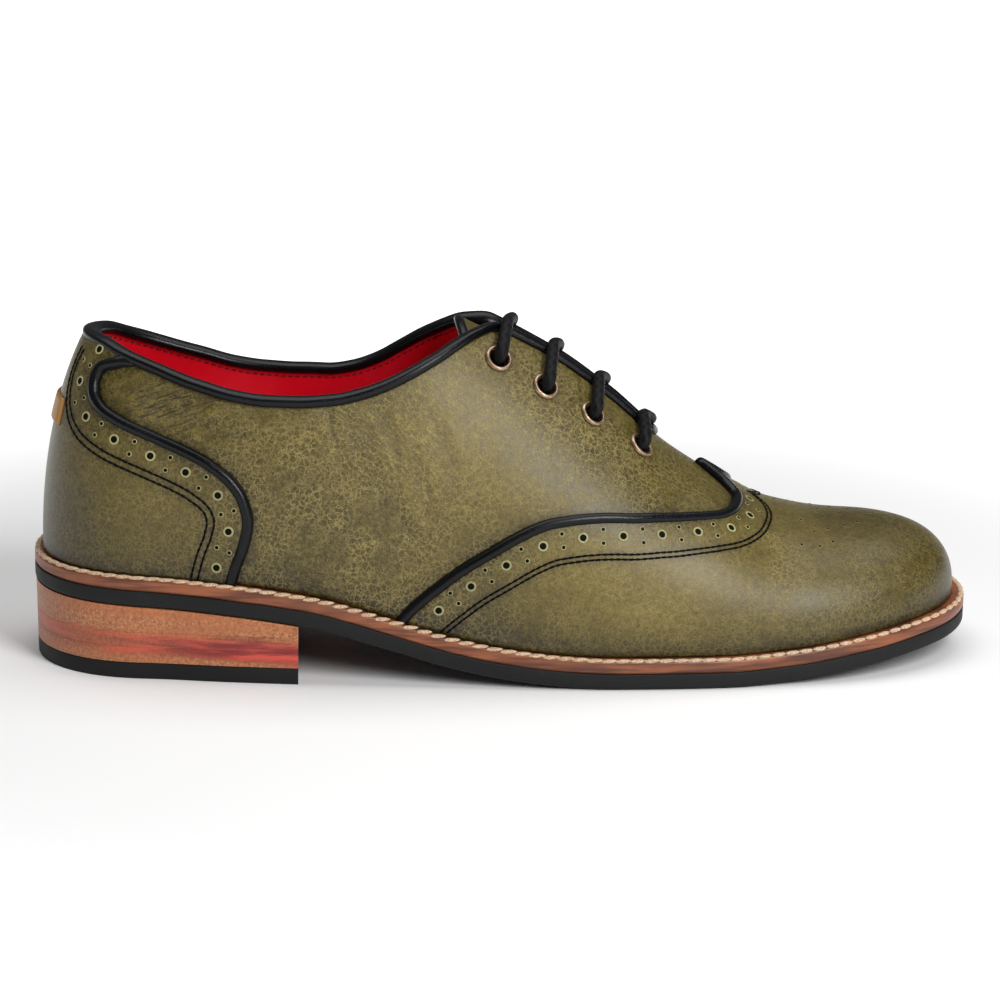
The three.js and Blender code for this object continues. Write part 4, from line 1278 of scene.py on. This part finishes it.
# Eyelets.
def eyelet(name, place, cad_node):
    axis = normals(*place)
    across = unit(np.array([1.0, 0, 0]) - axis * axis[0])
    other = np.cross(axis, across)
    barrel = EYELET_HOLE - 0.12
    profile = [(EYELET_BORE + 0.1, -2.5), (barrel, -2.5), (barrel, 0.05), (EYELET_RIM, 0.05)]
    centre, roll = (EYELET_BORE + EYELET_RIM) / 2, (EYELET_RIM - EYELET_BORE) / 2
    for a in np.linspace(0, math.pi, 11):
        profile.append((centre + roll * math.cos(a), 0.2 + 0.95 * math.sin(a)))
    angles = np.linspace(0, 2 * math.pi, 49)[:-1, None]
    circle = across * np.cos(angles) + other * np.sin(angles)
    rings = [bare(*place) + axis * height + circle * radius for radius, height in profile]
    patches = [patch(np.stack(rings, 1), wrap_rows=True, wrap_columns=True)]
    dress(make(name, patches, COPPER), "eyelet_metal", cad_node)


for row, name in zip(EYELETS, ("outer", "inner")):
    for k, place in enumerate(row):
        eyelet(f"eyelet_ring_{name}_{k + 1}", place, f"eyelet_{name}_{k + 1}")


# Laces.
def lace_path(k):
    """Up through the outer eyelet, over the throat with a bow towards the toe, down the inner."""

    def half(i):
        r, u = EYELETS[i][k]
        middle, axis = bare(r, u), normals(r, u)
        turned = bare(r, u + 0.02) - middle
        inward = unit(turned - axis * (turned @ axis))
        points = [middle - axis * 2.0]
        for a in np.linspace(0, math.pi / 2, 7):
            up_by = LACE_LIFTS[k] - LACE_BEND * (1 - math.sin(a))
            points.append(middle + axis * up_by + inward * LACE_BEND * (1 - math.cos(a)))
        edge = float(topline(r))
        for share, bow in ((0.35, 0.25), (0.7, 0.7), (1.0, 0.95)):
            point = skin(np.float64(r), np.float64(u + (edge - u) * share), LACE_LIFTS[k])
            x = point[0]
            toeward = unit(np.array([4.0, 0, crest_height(x + 2) - crest_height(x - 2)]))
            points.append(point + toeward * LACE_BOWS[k] * bow)
        return points

    outer, inner = half(0), half(1)
    path = np.array(outer + [(outer[-1] + inner[-1]) / 2] + inner[::-1])
    for _ in range(3):
        fine = np.empty((2 * len(path), 3))
        fine[0::2] = path
        fine[1::2] = np.vstack([(path[:-1] + path[1:]) / 2, path[-1:]])
        path = fine[:-1]
        path[1:-1] = (path[:-2] + 2 * path[1:-1] + path[2:]) / 4
    return path


def braided(path, radius):
    """A round braid along a path, with how high each strand lies on it."""
    run = run_along(path)
    marks = np.linspace(0, run[-1], int(run[-1] / 0.28))
    centre = np.stack([np.interp(marks, run, path[:, i]) for i in range(3)], 1)
    along = unit(np.gradient(centre, axis=0))
    across = unit(np.array([1.0, 0, 0]) - along * along[:, :1])
    other = np.cross(along, across)
    angles = np.linspace(0, 2 * math.pi, 28, endpoint=False)
    turn = marks[:, None] / (radius * 2.1) * math.pi
    left, right = (np.sin(4 * angles[None] + way * turn * 2) for way in (1, -1))
    weave = np.clip(np.maximum(left, right), 0, 1) * 0.8 + 0.2 * np.abs(left * right)
    r = radius * (0.93 + 0.07 * weave)
    rings = centre[:, None] + across[:, None] * (np.cos(angles) * r)[..., None]
    rings = rings + other[:, None] * (np.sin(angles) * r)[..., None]
    return tube(rings), {"weave": np.concatenate([weave.ravel(), weave[0], weave[-1]])}


for k in range(4):
    patches, fields = braided(lace_path(k), LACE)
    lace = make(f"lace_{k + 1}", patches, LACE_CLOTH, fields)
    dress(lace, "lace_cord", f"lace_bar_{k + 1}")


# Rows of stitches, holes and welt thread are placed by node trees.
def row_tree(name, inputs):
    """A tree that walks along a line at an even pitch, lifted off the leather."""
    inputs = [("Geometry", "Geometry", None), *inputs]
    tree, given, result = named_tree(name, "Geometry", inputs, [("Geometry", "Geometry")])
    line = tree.add("GeometryNodeMeshToCurve", None, Mesh=given["Geometry"])
    settings = {"mode": "LENGTH"}
    row = tree.add("GeometryNodeResampleCurve", settings, Curve=line, Length=given["Pitch"])
    settings = {"data_type": "FLOAT_VECTOR"}
    out = tree.add("GeometryNodeInputNamedAttribute", settings, Name="off_leather")
    lift = tree.add("VectorMath", {"operation": "SCALE"}, _0=out, Scale=given["Lift"])
    row = tree.add("GeometryNodeSetPosition", None, Geometry=row, Offset=lift)
    turn = tree.add("FunctionNodeAlignRotationToVector", {"axis": "Z"}, Vector=out)

    def change(what, piece, **values):
        return tree.add("GeometryNode" + what, None, Geometry=piece, **values)

    def finish(piece, turn):
        values = {"Points": row, "Instance": piece, "Rotation": turn}
        placed = tree.add("GeometryNodeInstanceOnPoints", None, **values)
        tree.feed(result[0], change("RealizeInstances", placed))
        return tree.tree

    return tree, given, turn, change, finish


def stitch_tree():
    """Thread stitches: a low rounded body, sunk at both ends, at an even pitch."""
    labels = ("Pitch", "Stitch length", "Thread width", "Thread height", "Lift", "Slant")
    sizes = zip(labels, ("Float",) * 6, (0.002, 0.0016, 0.0007, 0.0006, 0.0001, 0.0))
    inputs = [*sizes, ("Material", "Material", None)]
    tree, given, turn, change, finish = row_tree("stitch_row", inputs)
    tangent = tree.add("GeometryNodeInputTangent")
    settings, values = {"axis": "X", "pivot_axis": "Z"}, {"Rotation": turn, "Vector": tangent}
    turn = tree.add("FunctionNodeAlignRotationToVector", settings, **values)
    slant = tree.add("CombineXYZ", None, Z=given["Slant"])
    settings = {"rotation_space": "LOCAL"}
    turn = tree.add("FunctionNodeRotateRotation", settings, Rotation=turn, Rotate_By=slant)
    body = tree.add("GeometryNodeMeshUVSphere", None, Segments=10, Rings=6, Radius=0.5)
    size = {axis: given[label] for axis, label in zip("XYZ", labels[1:4])}
    body = change("Transform", body, Scale=tree.add("CombineXYZ", None, **size))
    body = change("SetShadeSmooth", body)
    return finish(change("SetMaterial", body, Material=given["Material"]), turn)


def hole_tree():
    """Punched holes: a pale raised rim with a dark sunk floor inside painted as shadow, at an even
    pitch.
    """
    labels = ("Pitch", "Hole radius", "Rim width", "Lift")
    inputs = [*zip(labels, ("Float",) * 4, (0.011, 0.0009, 0.0003, 0.0))]
    inputs += [("Rim material", "Material", None), ("Floor material", "Material", None)]
    tree, given, turn, change, finish = row_tree("punched_row", inputs)

    def circle(resolution, radius):
        values = {"Resolution": resolution, "Radius": radius}
        return tree.add("GeometryNodeCurvePrimitiveCircle", None, **values)

    middle = given["Hole radius"] + given["Rim width"]
    curves = {"Curve": circle(20, middle), "Profile_Curve": circle(8, given["Rim width"])}
    rim = tree.add("GeometryNodeCurveToMesh", None, **curves)
    rim = change("SetShadeSmooth", change("Transform", rim, Scale=(1, 1, 0.45)))
    rim = change("SetMaterial", rim, Material=given["Rim material"])
    values = {"Vertices": 20, "Radius": middle, "Depth": 0.00012}
    floor = tree.add("GeometryNodeMeshCylinder", {"fill_type": "NGON"}, **values)
    floor = change("SetMaterial", floor, Material=given["Floor material"])
    both = tree.add("GeometryNodeJoinGeometry")
    for part in (rim, floor):
        tree.feed(both.socket.node.inputs[0], part)
    return finish(both, turn)


STITCHES, HOLES = stitch_tree(), hole_tree()


def grow(name, runs, tree, slot, **values):
    """Grows a row on lines of points, each with its way off the leather, as a plain mesh."""
    points, edges, start = [], [], 0
    for place, _ in runs:
        points.append((place - ORIGIN) * MM)
        edges += [(start + i, start + i + 1) for i in range(len(place) - 1)]
        start += len(place)
    mesh = bpy.data.meshes.new(name)
    mesh.from_pydata(np.concatenate(points), edges, [])
    outs = np.ascontiguousarray(np.concatenate([out for _, out in runs]), dtype=np.float32)
    layer = mesh.attributes.new("off_leather", "FLOAT_VECTOR", "POINT")
    layer.data.foreach_set("vector", outs.ravel())
    piece = add_object(name, mesh)
    modifier = piece.modifiers.new("row", "NODES")
    modifier.node_group = tree
    for item in tree.interface.items_tree:
        if item.in_out == "INPUT" and item.name.replace(" ", "_") in values:
            modifier[item.identifier] = values[item.name.replace(" ", "_")]
    dress(bake(piece), slot)


def sew(name, runs, slot, thread_look, pitch, length, width, height, lift=0.0, slant=0.0):
    sizes = dict(Pitch=pitch, Stitch_length=length, Thread_width=width, Thread_height=height)
    grow(name, runs, STITCHES, slot, Lift=lift, Slant=slant, Material=thread_look, **sizes)


def punch(name, marks, radius, rim):
    """Single holes: each lies on a line too short for a second one."""
    step = np.array([0.01, 0.0, 0.0])
    runs = [(np.stack([p, p + step]), np.stack([out, out])) for p, out in marks]
    looks = dict(Rim_material=HOLE_RIM, Floor_material=HOLE_SHADOW)
    sizes = dict(Pitch=0.001, Lift=0.00002, Hole_radius=radius, Rim_width=rim)
    grow(name, runs, HOLES, "upper_leather", **sizes, **looks)


sew("seam_stitches", sewn_runs, "lace_cord", BLACK_THREAD, 0.0019, 0.0023, 0.0007, 0.0006, 0.00003)


def marks_beside(line, way, side, start, pitch, spread=0.0):
    """Places on a run beside a seam at an even pitch, single or in pairs spread across it."""
    places, across, _ = line
    r, u = moved(places, across, HOLES_IN * way, 8)
    run = run_along(bare(r, u))
    marks = np.arange(start, run[-1] - 1.0, pitch)
    place = np.interp(marks, run, r), np.interp(marks, run, u)
    sideways = unit(np.stack([np.interp(marks, run, across[:, i]) for i in range(3)], 1))
    made = []
    for shift in (-spread, spread) if spread else (0.0,):
        rr, uu = moved(place, sideways, shift * way, 2)
        keep = (uu > 0.012) & (uu < 0.99 * topline(rr)) & (side * rr > 0.012)
        rr, uu = rr[keep], uu[keep]
        made += zip(skin(rr, uu, OVERLAY_TOP), normals(rr, uu))
    return made


large, small = [], []
for side in SIDES:
    for line, way, start, pitch in (
        (WING_HALVES[side], -side, WING_HOLES_FROM, WING_HOLE_PITCH),
        (COUNTERS[side], side, COUNTER_HOLES_FROM, COUNTER_HOLE_PITCH),
    ):
        large += marks_beside(line, way, side, start, pitch)
        small += marks_beside(line, way, side, start + pitch / 2, pitch, PAIR_SPREAD)

# Medallion on the toe: a plain rosette of small holes, the same on both sides of its middle.
rosette = [(dx, 0) for dx in ROSETTE_MIDDLE]
rosette += [(dx, side * dy) for dx, dy in ROSETTE_PAIRS for side in (1, -1)]
spans = np.linspace(float(round_of(1, 0.7)), 1, 300), np.linspace(0.4, 1.6, 601)
toe_round, toe_up = np.meshgrid(*spans, indexing="ij")
toe_points = bare(-toe_round, toe_up)
middle_x, middle_y = 230.0, LAST["drift"](0.88) * BALL
medallion = []
for dx, dy in rosette:
    d = np.hypot(toe_points[..., 0] - middle_x - dx, toe_points[..., 1] - middle_y - dy)
    i = np.unravel_index(np.argmin(d), d.shape)
    place = -toe_round[i], toe_up[i]
    medallion.append((skin(*place, OVERLAY_TOP), normals(*place)))

punch("large_holes", large, 0.00092, 0.0003)
punch("small_holes", small, 0.00044, 0.00016)
punch("toe_holes", medallion, 0.00034, 0.0001)

# Thread along the lining and the binding.
inside = moved(LOOP, LOOP_DOWN, BINDING_INSIDE + 1.4, 3)
order = np.argsort(loop_round)
order = order[at_of(loop_round)[order] < 0.5]
run = (skin(*inside, -WALL)[order], -normals(*inside)[order])
sew("lining_stitches", [run], "insole_leather", RED_THREAD, 0.0021, 0.0018, 0.0006, 0.0005, 0.00003)

outside = moved(LOOP, LOOP_DOWN, BINDING_OUTSIDE - 0.25, 3)
run = [skin(*outside, BINDING_THICK * 0.75), normals(*outside)]
run = [np.vstack([values, values[:1]]) for values in run]
sew("binding_stitches", [run], "lace_cord", BLACK_THREAD, 0.0017, 0.00145, 0.0004, 0.00036)

rounds = np.linspace(-1, 1, 700)
x, y = outset(rounds, MARGIN(at_of(rounds)) - 0.95)
run = (np.stack([x, y, welt_top(x) - 0.1], -1), np.tile([0.0, 0.0, 1.0], (700, 1)))
sizes = dict(pitch=0.0041, length=0.0054, width=0.0018, height=0.0012, slant=0.14)
sew("welt_stitches", [run], "welt_leather", PALE_THREAD, **sizes)

# Stage, light and camera.
floor_mesh = bpy.data.meshes.new("floor")
corners = [(FLOOR * a, FLOOR * b, 0) for a, b in ((-1, -1), (1, -1), (1, 1), (-1, 1))]
floor_mesh.from_pydata(corners, [], [(0, 1, 2, 3)])
look = Look("pale_floor", 0.7, specular=0.1)
away = look.tree.add("VectorMath", {"operation": "LENGTH"}, "Value", _0=look.tree.places())
look.feed(Base_Color=(0.86, 0.86, 0.86, 1), Emission_Color=(1, 1, 1, 1))
look.feed(Emission_Strength=away.band(0.17, 0.55))
floor_mesh.materials.append(look.material)
floor = add_object("floor", floor_mesh)

world = bpy.data.worlds.new("studio")
bpy.context.scene.world = world
world.use_nodes = True
background = world.node_tree.nodes["Background"].inputs
background[0].default_value, background[1].default_value = (1, 1, 1, 1), 0.12
bpy.context.scene.view_settings.view_transform = "Standard"


def softbox(name, place, aim, width, height, power):
    light = bpy.data.lights.new(name, "AREA")
    light.shape, light.size, light.size_y, light.energy = "RECTANGLE", width, height, power
    lamp = add_object(name, light)
    lamp.location = place
    lamp.rotation_euler = (Vector(aim) - Vector(place)).to_track_quat("-Z", "Y").to_euler()


softbox("key_softbox", (0.42, -0.74, 0.61), (0.02, 0.0, 0.05), 0.38, 0.58, 9.6)
softbox("top_softbox", (0.0, 0.2, 1.3), (0.0, 0.05, 0.0), 1.6, 0.9, 12.0)

camera = bpy.data.cameras.new("camera")
camera.lens, camera.sensor_width = 114.66, 36.0
camera.shift_x, camera.shift_y = -0.0074, -0.0212
camera.clip_start, camera.clip_end = 0.05, 20.0
eye = add_object("camera", camera)
yaw, middle_y = math.radians(5.0), -ORIGIN[1] * MM
place = (-EYE_AWAY * math.sin(yaw), middle_y - EYE_AWAY * math.cos(yaw), EYE_HIGH)
eye.location = place
eye.rotation_mode = "QUATERNION"
turn = (Vector((0.0, middle_y, 0.05)) - Vector(place)).to_track_quat("-Z", "Y")
eye.rotation_quaternion = turn @ Quaternion((0, 0, 1), math.radians(1.1))
bpy.context.scene.camera = eye
